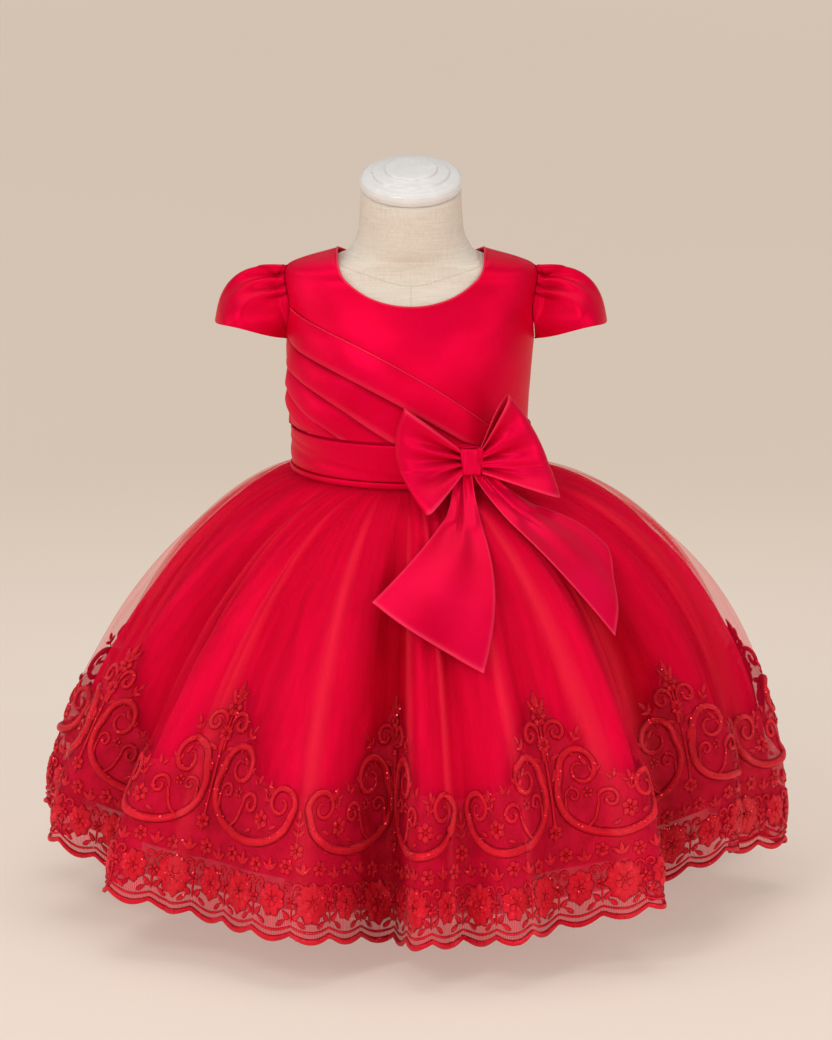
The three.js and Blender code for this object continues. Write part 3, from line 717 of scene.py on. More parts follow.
def lining_look():
    """Deep red painted shade in the folds' hollows and bright painted light on their ridges, over a random
    streaky tone.
    """
    look = Look("lining satin")
    cloth = look.cloth()
    streak = look.noise(look.scaled(cloth, 1.6, 0.08), 1.0, 3.0)
    tone = (streak.ramp(0.3, 0.7) * 0.3 + look.mark("ridge") * 0.75).clamp()
    base = look.mix(tone, colour(176, 0, 16), colour(255, 2, 66))
    return look.set(
        Base_Color=base,
        Roughness=0.6,
        Specular_IOR_Level=0.08,
        Normal=look.bump(streak, 0.15, 0.002),
    )


def lace_net_look():
    """Net with fine upright cords."""
    look = Look("lace net")
    cloth = look.cloth()
    u, v, _ = look.split(cloth)
    wobble = look.noise(look.scaled(cloth, 2.5, 2.5), 1.0, 2.0)
    stripe = ((u + wobble * 0.05) * (TWO_PI * 7.5)).sine().ramp(-0.5, 0.6)
    rungs = (v * (TWO_PI * 13)).sine().ramp(0.2, 0.9)
    worn = look.noise(look.scaled(cloth, 0.6, 0.6), 1.0, 2.0).ramp(0.3, 0.7)
    # painted light on the fold ridges and painted shade in the valleys, over a random worn tone
    tone = (worn * 0.5 + look.mark("ridge") * 0.6).clamp()
    base = look.mix(tone, colour(156, 0, 20), colour(226, 8, 56))
    # painted highlight along the turned edges
    base = look.mix((look.mark("turned") * 0.35).clamp(), base, colour(255, 44, 66))
    return look.set(
        Base_Color=base,
        Roughness=0.6,
        Specular_IOR_Level=0.1,
        Alpha=(stripe * 0.36 + rungs * 0.12 + worn * 0.08 + 0.44).clamp(),
        Normal=look.bump(stripe, 0.3, 0.0006),
    )


def thread_look():
    """Satin-stitched thread, with painted shade at the foot of each raised shape."""
    look = Look("embroidery thread")
    cloth = look.cloth()
    u, v, _ = look.split(cloth)
    wobble = look.noise(look.scaled(cloth, 9, 9), 1.0, 2.0)
    stitch = ((v * 1.0 + u * 0.35 + wobble * 0.03) * (TWO_PI * 22)).sine()
    soft = look.noise(look.place(), 70.0, 2.0)
    # painted light on the skirt's fold ridges, over a random tone and the stitches
    tone = (soft * 0.5 + stitch * 0.1 + look.mark("ridge") * 0.5 - 0.1).ramp(0.1, 0.7)
    base = look.mix(tone, colour(182, 0, 20), colour(255, 30, 54))
    # painted highlight by the turned edges, then painted shade at the foot of each raised shape
    base = look.mix((look.mark("turned") * 0.5).clamp(), base, colour(255, 60, 74))
    base = look.mix(look.mark("rim").ramp(0.3, 0.95, 0.0, 0.85), base, colour(104, 0, 10))
    return look.set(
        Base_Color=base,
        Metallic=0.25,
        Roughness=(0.24 + wobble * 0.14),
        Specular_IOR_Level=0.8,
        Specular_Tint=colour(255, 120, 130),
        Normal=look.bump(stitch, 0.55, 0.0004),
    )


# Height of the linen's neck seam at the front, and its rise to the sides, in metres
NECK_SEAM = 0.4705
NECK_SEAM_RISE = 0.016


def linen_look():
    look = Look("linen")
    place = look.place()
    x, y, z = look.split(place)
    warp = look.noise(look.scaled(place, 1400, 1400, 60), 1.0, 2.0)
    weft = look.noise(look.scaled(place, 60, 60, 1500), 1.0, 2.0)
    slub = look.noise(look.scaled(place, 25, 25, 320), 1.0, 3.0)
    shade = (warp * 0.4 + weft * 0.4 + slub * 0.2).ramp(0.36, 0.64)
    # the seam round the foot of the neck, which rises at the sides, and the one down from it
    side = (x * x) / (x * x + y * y)
    ring = (z - side * NECK_SEAM_RISE - NECK_SEAM).absolute().ramp(0.0003, 0.0008, 1.0, 0.0)
    down = x.absolute().ramp(0.0003, 0.0008, 1.0, 0.0) * z.ramp(0.4702, NECK_SEAM, 1.0, 0.0)
    seam = (ring + down).clamp()
    base = look.mix(shade, colour(212, 200, 184), colour(230, 220, 206))
    base = look.mix(seam * 0.22, base, colour(168, 148, 126))
    return look.set(
        Base_Color=base,
        Roughness=0.9,
        Specular_IOR_Level=0.15,
        Normal=look.bump(seam, -0.5, 0.0006, look.bump(warp + weft, 0.14, 0.0004)),
    )


def lacquer_look(name, tint):
    look = Look(name)
    soft = look.noise(look.place(), 90.0, 3.0)
    base = look.mix(soft.ramp(0.3, 0.7), tint, colour(229, 226, 223))
    return look.set(
        Base_Color=base,
        Roughness=(soft * 0.12 + 0.2),
        Coat_Weight=0.5,
        Coat_Roughness=0.12,
        Normal=look.bump(soft, 0.03, 0.0004),
    )


def steel_look():
    look = Look("brushed steel")
    brush = look.noise(look.scaled(look.place(), 30, 30, 900), 1.0, 2.0)
    base = look.mix(brush, colour(150, 154, 158), colour(205, 208, 210))
    return look.set(
        Base_Color=base, Metallic=1.0, Roughness=(brush * 0.2 + 0.22), Normal=look.bump(brush, 0.1, 0.0003)
    )


def sequin_look():
    look = Look("sequins")
    soft = look.noise(look.place(), 400.0, 1.0)
    base = look.mix(soft, colour(190, 0, 30), colour(255, 60, 80))
    return look.set(Base_Color=base, Roughness=(soft * 0.1 + 0.08), Metallic=0.75)


satin = satin_look("red satin", colour(236, 4, 62), colour(210, 0, 44))
ribbon = satin_look("bow satin", colour(238, 8, 68), colour(212, 0, 46), 0.33)
# a lighter copy of the satin for the rolled edges of the neckline and the wrap: a painted highlight
lit_satin_edge = satin_look("turned satin edge", colour(246, 60, 90), colour(226, 26, 62))
# the nets' dark colours are painted shade in the fold valleys and their light ones painted light on the
# ridges, mixed with a random streaky tone
outer_net = net_look("outer tulle", colour(255, 22, 70), colour(206, 0, 30), 0.18, 0.36, 1.1)
inner_net = net_look("inner tulle", colour(255, 0, 66), colour(176, 0, 14), 0.7, 0.95, 0.8)
lining_cloth = lining_look()
lace_net = lace_net_look()
thread = thread_look()
linen = linen_look()
white = lacquer_look("white lacquer", colour(222, 219, 216))
base_white = lacquer_look("base lacquer", colour(236, 233, 228))
steel = steel_look()
glint = sequin_look()

# Bodice


def armhole(share):
    """Angle and height of the armhole's edge, from the underarm up."""
    angle = 90 - 17 * np.sin(np.pi * np.clip(share, 0, 1)) ** 0.8
    return angle, lerp(UNDERARM, SHOULDER_TIP, share)


# Shares of a panel: the neckline's part of its top edge, and how far up it the underarm lies
NECK_SHARE = 0.6
TO_UNDERARM = 0.4


def panel_point(across, up, neck_middle):
    """Angle and height of a point of a bodice panel, in shares across and up its cut."""
    side = np.where(across < 0, -1.0, 1.0)
    share = np.abs(across)
    turn = np.clip(share / NECK_SHARE, 0, 1)
    in_neck = share <= NECK_SHARE
    along = np.clip((share - NECK_SHARE) / (1 - NECK_SHARE), 0, 1)
    turn = (1 - (1 - turn) ** 1.6) * np.pi / 2
    neck_z = lerp(NECK_SIDE, neck_middle, np.cos(turn))
    reach = column("half_width", NECK_SIDE) * np.sin(turn)
    top_angle = np.where(in_neck, angle_at(reach, neck_z), 90.0)
    top_z = np.where(in_neck, neck_z, lerp(NECK_SIDE, SHOULDER_TIP, along))
    rise = np.clip((up - TO_UNDERARM) / (1 - TO_UNDERARM), 0, 1)
    edge_angle, edge_z = armhole(rise)
    angle = lerp(90 * share, top_angle, rise) + share * (edge_angle - 90)
    z = lerp(UNDERARM, top_z, rise) + share * (edge_z - lerp(UNDERARM, SHOULDER_TIP, rise))
    low = lerp(WAIST + 0.4, UNDERARM, np.clip(up / TO_UNDERARM, 0, 1))
    below = up <= TO_UNDERARM
    return side * np.where(below, 90 * share, angle), np.where(below, low, z)


# Troughs in the bodice: angle, height, length in degrees, half width, depth, and slant
CREASES = (
    (38, 372, 26, 5, 0.8, 0.25),
    (64, 388, 20, 6, 0.7, -0.3),
    (52, 436, 18, 7, 0.6, 0.5),
    (-58, 462, 14, 6, 0.5, -0.5),
    (150, 372, 24, 5, 0.8, -0.2),
    (205, 366, 30, 5, 0.9, 0.15),
    (170, 420, 16, 8, 0.5, 0.4),
    (228, 440, 20, 7, 0.6, -0.4),
)


def bodice_creases(angle, z):
    """Soft uneven troughs: a few across the waist, and pulls from the armholes."""
    total = 0
    for a, h, length, tall, deep, slant in CREASES:
        da = (angle - a + 180) % 360 - 180
        dz = z - h - slant * da
        total = total - deep * np.exp(-((da / length) ** 2) - (dz / tall) ** 2)
    return total


# Gaps between panels: at a side seam, in degrees, and at the centre back, as a share of a panel
SIDE_GAP = 0.45
BACK_GAP = 0.0016


def bodice_panel(name, start, end, neck_middle, facing, columns, rows):
    up, share = np.meshgrid(np.linspace(0, 1, rows), np.linspace(start, end, columns), indexing="ij")
    angle, z = panel_point(share, up, neck_middle)
    angle = facing + angle * (90 - SIDE_GAP) / 90
    out = BODICE_OUT + bodice_creases(angle, z)
    return shell(name, on_form(angle, z, out), SATIN, satin)


bodice_front = bodice_panel("satin bodice front", -1, 1, NECK_FRONT, 0, 121, 81)
bodice_back_right = bodice_panel("satin bodice back right", -1, -BACK_GAP, NECK_BACK, 180, 61, 71)
bodice_back_left = bodice_panel("satin bodice back left", BACK_GAP, 1, NECK_BACK, 180, 61, 71)


def tube(points, radius, sides=8, closed=False):
    """Points and faces of a tube round a path of points, ends shut."""
    points = np.asarray(points, float)
    if closed:
        tangent = unit(np.roll(points, -1, axis=0) - np.roll(points, 1, axis=0))
    else:
        tangent = unit(np.gradient(points, axis=0))
    upright = np.broadcast_to(np.array([0.0, 0.0, 1.0]), tangent.shape)
    side = unit(np.cross(tangent, upright))
    out = unit(np.cross(side, tangent))
    turn = np.linspace(0, 2 * np.pi, sides, endpoint=False)
    radius = np.broadcast_to(radius, len(points))[:, None, None]
    ring = side[:, None] * np.cos(turn)[None, :, None]
    ring = ring + out[:, None] * np.sin(turn)[None, :, None]
    body = points[:, None] + ring * radius
    faces = grid_faces(sides, len(points), closed=True)[:, ::-1].tolist()
    if closed:
        last = (len(points) - 1) * sides
        for k in range(sides):
            n = (k + 1) % sides
            faces.append([last + n, last + k, k, n])
    else:
        faces.append(list(range(sides)))
        faces.append([(len(points) - 1) * sides + k for k in range(sides)][::-1])
    length = np.arange(len(points))[:, None] * np.ones(sides)[None] * 0.1
    round_it = np.broadcast_to(turn / TWO_PI * 0.3, length.shape)
    return body.reshape(-1, 3), faces, np.stack([round_it, length], -1).reshape(-1, 2)


def joined(name, parts, material):
    """One mesh from several (points, faces, uv)."""
    points, faces, uvs, start = [], [], [], 0
    for p, f, uv in parts:
        points.append(p)
        uvs.append(uv)
        faces.extend([[start + k for k in face] for face in f])
        start += len(p)
    piece = make(name, np.concatenate(points), faces, np.concatenate(uvs))
    piece.data.materials.append(material)
    return piece


def neck_binding():
    """The rolled edge of the neckline, front and back in one ring."""
    front_angle, front_z = panel_point(np.linspace(-0.6, 0.6, 90), np.ones(90), NECK_FRONT)
    back_angle, back_z = panel_point(np.linspace(-0.6, 0.6, 90)[1:-1], np.ones(88), NECK_BACK)
    angle = np.concatenate([front_angle, 180 + back_angle])
    z = np.concatenate([front_z, back_z])
    path = on_form(angle, z + 0.2, BODICE_OUT - 0.35)
    return tube(path, 0.85, closed=True)


neckline = joined("neckline edge", [neck_binding()], lit_satin_edge)


def seam(angle, high):
    """A closed seam down the bodice."""
    z = np.linspace(WAIST + 1, high, 40)
    out = BODICE_OUT - 0.42 + bodice_creases(angle, z)
    return tube(on_form(np.full(40, float(angle)), z, out), 0.62)


back_seam = joined("centre back seam", [seam(180, NECK_BACK - 0.5)], satin)
side_seams = joined("side seams", [seam(90, UNDERARM - 0.5), seam(270, UNDERARM - 0.5)], satin)

# Draped panel: each pleat is a band that rolls over at its upper edge and tucks under the last.


def pleat_line(pleat, share):
    """Angle and height along a pleat's edge."""
    end = angle_at(pleat["end_x"], pleat["end_z"])
    angle = lerp(pleat["angle"], end, share)
    z = lerp(pleat["z"], pleat["end_z"], share**0.92)
    z = z + pleat["bend"] * np.sin(np.pi * np.clip(share, 0, 1))
    return angle, z


PLEAT_OUT = BODICE_OUT + 2.3
PLEAT_RISE = 2.4
# How far each edge runs past its end, how much each band puffs, and a band's section from its
# upper edge down: share across and share of its rise
PLEAT_REACHES = (1.12, 1.12, 1.0, 1.0, 1.0, 1.0)
PLEAT_PUFFS = (1.15, 2.0, 2.4, 2.2, 0.9)
PLEAT_SECTION = (
    (0.0, 0.02),
    (0.05, 0.14),
    (0.2, 0.5),
    (0.4, 0.8),
    (0.6, 0.96),
    (0.8, 1.06),
    (0.92, 1.08),
    (0.98, 1.0),
    (1.012, 0.78),
    (1.02, 0.5),
    (1.012, 0.24),
    (1.0, 0.08),
)


def draped_bands():
    """Rows from the waist to the top pleat, each band tucked under the one above it."""
    share = np.linspace(0, 1, 90)
    rows, crease_shades, lip_highlights = [], [], []
    for k in range(len(PLEATS) - 1):
        high_a, high_z = pleat_line(PLEATS[k], share * PLEAT_REACHES[k])
        low_a, low_z = pleat_line(PLEATS[k + 1], share * PLEAT_REACHES[k + 1])
        crowding = np.clip((high_z - low_z) / 12, 0.15, 1)
        wave = 0.25 * np.sin(7 * share + 1.7 * k) + 0.18 * np.sin(17 * share + k)
        flat = 0.14 + 0.86 * ease(share / 0.2)
        for across, rise in PLEAT_SECTION:
            lift = (PLEAT_RISE * rise * PLEAT_PUFFS[k] + wave * rise) * crowding * flat
            a = lerp(high_a, low_a, across)
            z = lerp(high_z, low_z, across)
            rows.append(on_form(a, z, PLEAT_OUT - 0.5 + lift))
            # painted shade just under the band above, where its rolled edge overhangs this one
            under = np.exp(-((across / 0.13) ** 2)) if k else 0
            crease_shades.append(under * (0.7 + 0.4 * np.sin(np.pi * share**0.7)))
            # painted highlight along each band's rolled lower edge
            lip_highlights.append(np.exp(-(((across - 0.97) / 0.07) ** 2)) * (k < 4) * (0.4 + 0.4 * share))
    marks = {"crease": np.array(crease_shades[::-1]), "lip_highlight": np.array(lip_highlights[::-1])}
    return np.array(rows[::-1]), marks


bands, band_marks = draped_bands()
draped_panel = mark(shell("satin draped panel", bands, SATIN, satin), **band_marks)


def panel_edge():
    """The wrap's turned upper edge."""
    angle, z = pleat_line(PLEATS[0], np.linspace(0, 1.1, 90))
    return tube(on_form(angle, z - 0.3, PLEAT_OUT - 0.1), 0.42)


wrap_edge = joined("wrap edge", [panel_edge()], lit_satin_edge)

# Sleeves

# Gathers at the sleeve's head: place round the armhole, width and height of the fold.
GATHER_LINES = (
    (0.355, 0.018, 3.2),
    (0.42, 0.02, 4.4),
    (0.49, 0.024, 4.8),
    (0.565, 0.02, 4.4),
    (0.635, 0.02, 3.4),
    (0.70, 0.024, 2.4),
)
# Lines of painted shade between the gathers, and the place that gathers and shade lines fan out from
CREASE_SHADE_LINES = (0.33, 0.388, 0.457, 0.53, 0.60)
SLEEVE_CROWN = 0.47


def sleeve_grid(side, columns=190, rows=50):
    """A cap sleeve from its cuff up to the armhole's seam, with its gathers."""
    up, share = np.meshgrid(np.linspace(0, 1, rows), np.linspace(0, 1, columns), indexing="ij")
    around = lerp(0.006, 0.994, share if side > 0 else 1 - share)
    out = 1 - up
    front = around < 0.5
    hole_angle, hole_z = armhole(np.clip(1 - np.abs(2 * around - 1), 0.01, 0.98))
    seam = on_form(np.where(front, hole_angle, 180 - hole_angle), hole_z, BODICE_OUT + 0.4)
    arch = np.sin(np.pi * around)
    swing = np.sin(2 * np.pi * around)
    cuff = np.stack(
        [90.6 + 54.4 * arch**1.1, -32 * swing, UNDERARM - 1.6 + 14 * arch + 5 * swing**2], -1
    )
    crown = seam + np.stack([46 * arch, -14 * swing, 7 * arch], -1)
    o = out[..., None]
    p = seam * (1 - o) ** 2 + crown * (2 * o * (1 - o)) + cuff * o * o
    normal = normals_of(p) * (1 if side > 0 else -1)
    lift = 0
    head = 0.3 * ease((arch - 0.25) / 0.45)
    for k, (at, wide, high) in enumerate(GATHER_LINES):
        fan = at + (at - SLEEVE_CROWN) * out * 0.9
        fade = np.clip(out / 0.05, 0, 1) * np.clip(1 - out / (0.66 + 0.14 * (k % 3)), 0, 1) ** 1.1
        fold = np.exp(-(((around - fan) / (wide * (1 + out))) ** 2))
        lift = lift + 1.1 * high * fade * (fold - head)
    # one broad soft fold slants across the sleeve's front
    slant = around - 0.33 + 0.22 * (out - 0.5)
    lift = lift + 1.5 * np.sin(np.pi * out) * np.exp(-((slant / 0.05) ** 2))
    p = p + normal * lift[..., None]
    p[..., 0] *= side
    # painted shade in the valleys between the gathers
    crease_shade = 0
    for k, at in enumerate(CREASE_SHADE_LINES):
        fan = at + (at - SLEEVE_CROWN) * out * 0.9
        fade = np.clip(1 - out / (0.3 + 0.1 * (k % 2)), 0, 1) ** 1.2
        crease_shade = crease_shade + fade * np.exp(-(((around - fan) / (0.009 + 0.02 * out)) ** 2))
    # the crease mark adds painted shade along the armhole seam
    return p, {"crease": crease_shade + 0.6 * np.exp(-((out / 0.012) ** 2))}


def sleeve(name, side):
    grid, marks = sleeve_grid(side)
    return mark(shell(name, grid, SATIN, satin), **marks)


sleeve_left = sleeve("satin sleeve left", -1)
sleeve_right = sleeve("satin sleeve right", 1)

# Sash: heights, how far its inside lies off the body, rows of the mesh, and its soft dents
SASH = {"low": 330.5, "high": 358.5, "inner": 3.6, "rows": 22, "seed": 5, "dents": 0.75}
SASH_FOLD = {"low": 325.5, "high": 330, "inner": 3.9, "rows": 8, "seed": 6, "dents": 0.2}


def sash_grid(low, high, inner, rows, seed, dents):
    waves = np.random.default_rng(seed)
    z, angle = np.meshgrid(
        np.linspace(low, high, rows), np.linspace(0, 360, 320, endpoint=False), indexing="ij"
    )
    v = (z - low) / (high - low)
    out = inner + SATIN + 0.7 * np.sin(np.pi * v) ** 0.5
    for _ in range(9):
        a0 = waves.uniform(0, 360)
        v0 = waves.uniform(0.15, 0.85)
        wide = waves.uniform(18, 55)
        tall = waves.uniform(0.05, 0.12)
        slant = waves.uniform(-0.006, 0.006)
        da = (angle - a0 + 180) % 360 - 180
        out = out - dents * np.exp(-((da / wide) ** 2) - ((v - v0 - slant * da) / tall) ** 2)
    return on_form(angle, z, out)


sash = shell("satin sash", sash_grid(**SASH), SATIN, satin, closed=True)
sash_fold = shell("satin sash fold", sash_grid(**SASH_FOLD), SATIN, satin, closed=True)

# Bow


def bow_point(right, up, out):
    """A point measured from the knot, which faces a little to one side."""
    turn = math.radians(BOW["facing"])
    x = BOW["x"] + right * math.cos(turn) + out * math.sin(turn)
    y = BOW["y"] + right * math.sin(turn) - out * math.cos(turn)
    return np.stack(np.broadcast_arrays(x, y, BOW["z"] + up), -1)


# Valleys of a loop: place from its lower edge (-1) to its upper (1), depth, width and length
LOOP_VALLEYS = (
    (-0.62, 5.6, 0.15, 0.95),
    (-0.28, 0.8, 0.05, 0.35),
    (0.03, 6.2, 0.17, 1.0),
    (0.34, 0.8, 0.05, 0.35),
    (0.64, 6.0, 0.15, 1.05),
)


def loop_grid(loop, columns=110, rows=70):
    """A loop of ribbon: out from the knot along its front, and back to the knot behind."""
    up, share = np.meshgrid(np.linspace(0, 1, rows), np.linspace(0, 1, columns), indexing="ij")
    side = loop["side"]
    along = share if side > 0 else 1 - share
    across = 2 * up - 1
    reach = np.sin(np.pi * along) ** 0.85
    near_x = side * (KNOT["half_width"] - 1.5)
    near_z = across * (KNOT["half_height"] - 2)
    far_x = lerp(loop["bottom"][0], loop["top"][0], up) + side * loop["bulge"] * (1 - across**2)
    far_z = lerp(loop["bottom"][1], loop["top"][1], up)
    z = lerp(near_z, far_z, reach)
    crease, shade = 0, 0
    for at, deep, wide, length in LOOP_VALLEYS:
        fade = np.clip(1 - reach / length, 0, 1) ** 0.7
        off = (across - at * (1 + 0.1 * side)) / (wide * (0.6 + 0.8 * reach))
        valley = fade * np.exp(-(off**2))
        crease = crease - deep * valley
        # painted shade in each valley near the knot
        shade = shade + min(1, deep / 4) * valley * np.clip(1.1 - 1.3 * reach, 0, 1)
    front = np.cos(np.pi * along)
    layer = 7 * np.sin(2 * np.pi * along) + 2.6 * front
    bend = 1.2 * np.sin(3.1 * across + 4 * reach) * reach
    points = bow_point(
        lerp(near_x, far_x, reach), z, layer + crease + bend + np.maximum(0, -z - 4)
    )
    # the lip mark is a painted highlight along the ribbon's two edges
    return points, {"crease": shade * 0.8, "lip_highlight": np.clip((np.abs(across) - 0.93) / 0.05, 0, 1)}


def folded_ribbon(name, grid, marks):
    return mark(shell("satin " + name, grid, SATIN, ribbon), **marks)


bow_loops = [folded_ribbon(loop["name"], *loop_grid(loop)) for loop in LOOPS]


def knot_grid():
    """A soft band round the loops' roots, with shallow pleats."""
    rows, columns = 26, 64
    v, turn = np.meshgrid(
        np.linspace(-1, 1, rows), np.linspace(0, TWO_PI, columns, endpoint=False), indexing="ij"
    )
    pinch = 1 - 0.1 * np.cos(np.pi * v * 0.5) ** 2
    pleat = 0.12 * np.cos(5 * turn + 1.3 * v) + 0.05 * np.cos(9 * turn - 2.2 * v)
    edge = (1 - np.abs(v) ** 6) ** 0.25
    c, s = np.cos(turn), np.sin(turn)
    half_w = KNOT["half_width"] * (pinch + pleat) * np.sign(c) * np.abs(c) ** 0.85
    half_d = KNOT["depth"] / 2 * (1 + pleat) * np.sign(s) * np.abs(s) ** 0.7
    across = half_w * (0.8 + 0.2 * edge)
    return bow_point(across, v * KNOT["half_height"], -half_d * (0.72 + 0.28 * edge))


bow_knot = shell("satin bow knot", knot_grid(), SATIN, ribbon, closed=True)


def tail_grid(tail, rows=90, columns=60):
    """A tail: pleated under the knot, with a soft roll at its root, and then laid on the skirt."""
    up, share = np.meshgrid(np.linspace(0, 1, rows), np.linspace(0, 1, columns), indexing="ij")
    down = 1 - up
    across = 2 * share - 1
    gather = np.cos(2 * np.pi * across)
    root = bow_point(tail["root_x"] * 1.15 + 7 * across, -KNOT["half_height"] + 1.5, 1 + 2.2 * gather)
    azimuth = lerp(tail["left"][0], tail["right"][0], share)
    along = lerp(tail["left"][1], tail["right"][1], share)
    start = np.degrees(np.arctan2(root[..., 0], -root[..., 1]))
    out = tail["out"] * (0.5 + 0.5 * down**0.5) + 3 * gather * (1 - down) ** 2
    out = out + 1.6 * np.sin(5 * across + 3 * down + tail["root_x"]) * down * (1 - 0.4 * down)
    valley = np.exp(-(((across + 0.08) / 0.13) ** 2)) * np.clip(1 - down / 0.42, 0, 1)
    roll = np.exp(-(((down - 0.15) / 0.09) ** 2) - ((np.abs(across) - 0.55) / 0.3) ** 2)
    out = out - 6.5 * valley + 7.5 * roll
    sweep = lerp(start, azimuth, down ** lerp(0.8, 0.5, share))
    sweep = sweep + 3 * share * np.sin(np.pi * down)
    lying = dome_point(sweep, lerp(0.03, along, down), out)
    # painted shade in the pleat's valley under the knot
    hollow_shade = valley * np.clip(1.3 - 3.2 * down, 0, 1)
    # painted highlight along the tail's two edges and its cut end
    edge = np.clip((np.abs(across) - 0.955) / 0.03, 0, 1)
    edge = edge + np.clip((down - 0.975) / 0.02, 0, 1)
    return lerp(root, lying, ease(down / 0.2)[..., None]), {"crease": hollow_shade, "lip_highlight": edge}


bow_tails = [folded_ribbon(tail["name"], *tail_grid(tail)) for tail in TAILS]

# Skirt


def skirt_grid(first, count, alongs, point, columns_per_fold):
    """A layer of the skirt over some folds; a negative share down it runs up under the sash."""
    place = np.linspace(first + GAP, first + count - GAP, count * columns_per_fold + 1)
    along, place = np.meshgrid(np.asarray(alongs)[::-1], place, indexing="ij")
    grid = point(place, np.clip(along, 0, 1))
    top = np.clip(along / -0.03, 0, 1)
    grid[..., 2] = np.where(along < 0, lerp(grid[..., 2], WAIST, top), grid[..., 2])
    return grid, fold_light_marks(place, np.clip(along, 0, 1))


def net_alongs(count, end):
    return np.concatenate([[-0.03, -0.015], np.linspace(0, 1, count) ** 1.15 * end])


def outer_tulle(name, first, count, per_fold=44, rows=58):
    """The tulle from the sash to the lace's top edge, whose height changes round the hem."""
    place = np.linspace(first + GAP, first + count - GAP, count * per_fold + 1)
    edge = 1 - (lace_height(repeat_at(place)) - 2) / SKIRT_LENGTH
    share = (np.linspace(0, 1, rows) ** 1.1)[::-1]
    along = share[:, None] * edge[None]
    grid = folded_point(np.broadcast_to(place, along.shape), along)
    top = grid[-1:].copy()
    top[..., 2] = WAIST
    marks = fold_light_marks(*np.broadcast_arrays(place[None], np.concatenate([along, along[-1:]])))
    return mark(single(name, np.concatenate([grid, top]), outer_net), **marks)


tulle_front = outer_tulle("outer tulle front", 0, FRONT)
tulle_back = outer_tulle("outer tulle back", FRONT, COUNT - FRONT)


def inner_point(place, along):
    inside = lerp(1.2, 9, np.clip(along * 2.2, 0, 1))
    p = folded_point(place, along, 0.8, inside, 0.4, 11, 0.9)
    p[..., 2] -= 1.0
    return p


def inner_tulle(name, first, count):
    grid, marks = skirt_grid(first, count, net_alongs(50, INNER_TULLE_HEM), inner_point, 44)
    return mark(single(name, grid, inner_net), **marks)


inner_tulle_front = inner_tulle("inner tulle front", 0, FRONT)
inner_tulle_back = inner_tulle("inner tulle back", FRONT, COUNT - FRONT)


def lining_point(place, along):
    inside = lerp(1.9, 15, np.clip(along * 2.2, 0, 1))
    p = folded_point(place, along, 0.5, inside, 0.0, 17, 0.9)
    p[..., 2] -= 2
    return p


def lining(name, first, count):
    grid, marks = skirt_grid(first, count, net_alongs(40, LINING_HEM), lining_point, 24)
    return mark(shell(name, grid, LINING_THICKNESS, lining_cloth), **marks)


lining_front = lining("lining front", 0, FRONT)
lining_back = lining("lining back", FRONT, COUNT - FRONT)

# Lace border. Its motifs are drawn flat, in mm across the repeat and up from the hem, and laid
# on the skirt's folds repeat by repeat.
HALF = REPEAT_WIDTH / 2
# The share down the skirt at which the lace takes its marks for painted fold light
LACE_DOWN = 0.9


def resample(path, step):
    """Even points along a path, and how far along it each one lies."""
    path = np.asarray(path, float)
    lengths = np.concatenate([[0], np.cumsum(np.linalg.norm(np.diff(path, axis=0), axis=1))])
    count = max(4, int(round(lengths[-1] / step)) + 1)
    at = np.linspace(0, lengths[-1], count)
    return np.stack([np.interp(at, lengths, path[:, k]) for k in range(2)], -1), at


def smooth_path(points, step=2.4):
    """A smooth curve through a few points."""
    p = np.asarray(points, float)
    padded = np.concatenate([[2 * p[0] - p[1]], p, [2 * p[-1] - p[-2]]])
    out = []
    for k in range(1, len(padded) - 2):
        a, b, c, d = padded[k - 1 : k + 3]
        t = np.linspace(0, 1, 14, endpoint=False)[:, None]
        bend = (2 * a - 5 * b + 4 * c - d) * t**2 + (3 * b - a - 3 * c + d) * t**3
        out.append(0.5 * (2 * b + (c - a) * t + bend))
    out.append(p[-1:])
    return resample(np.concatenate(out), step)[0]


def spiral(cx, cy, start_radius, turns, start, direction):
    """Points from a spiral's outside to its eye."""
    t = np.linspace(0, 1, int(26 * turns) + 8)
    radius = start_radius * (1 - 0.82 * t)
    angle = np.radians(start) + direction * TWO_PI * turns * t
    return np.stack([cx + radius * np.cos(angle), cy + radius * np.sin(angle)], -1)


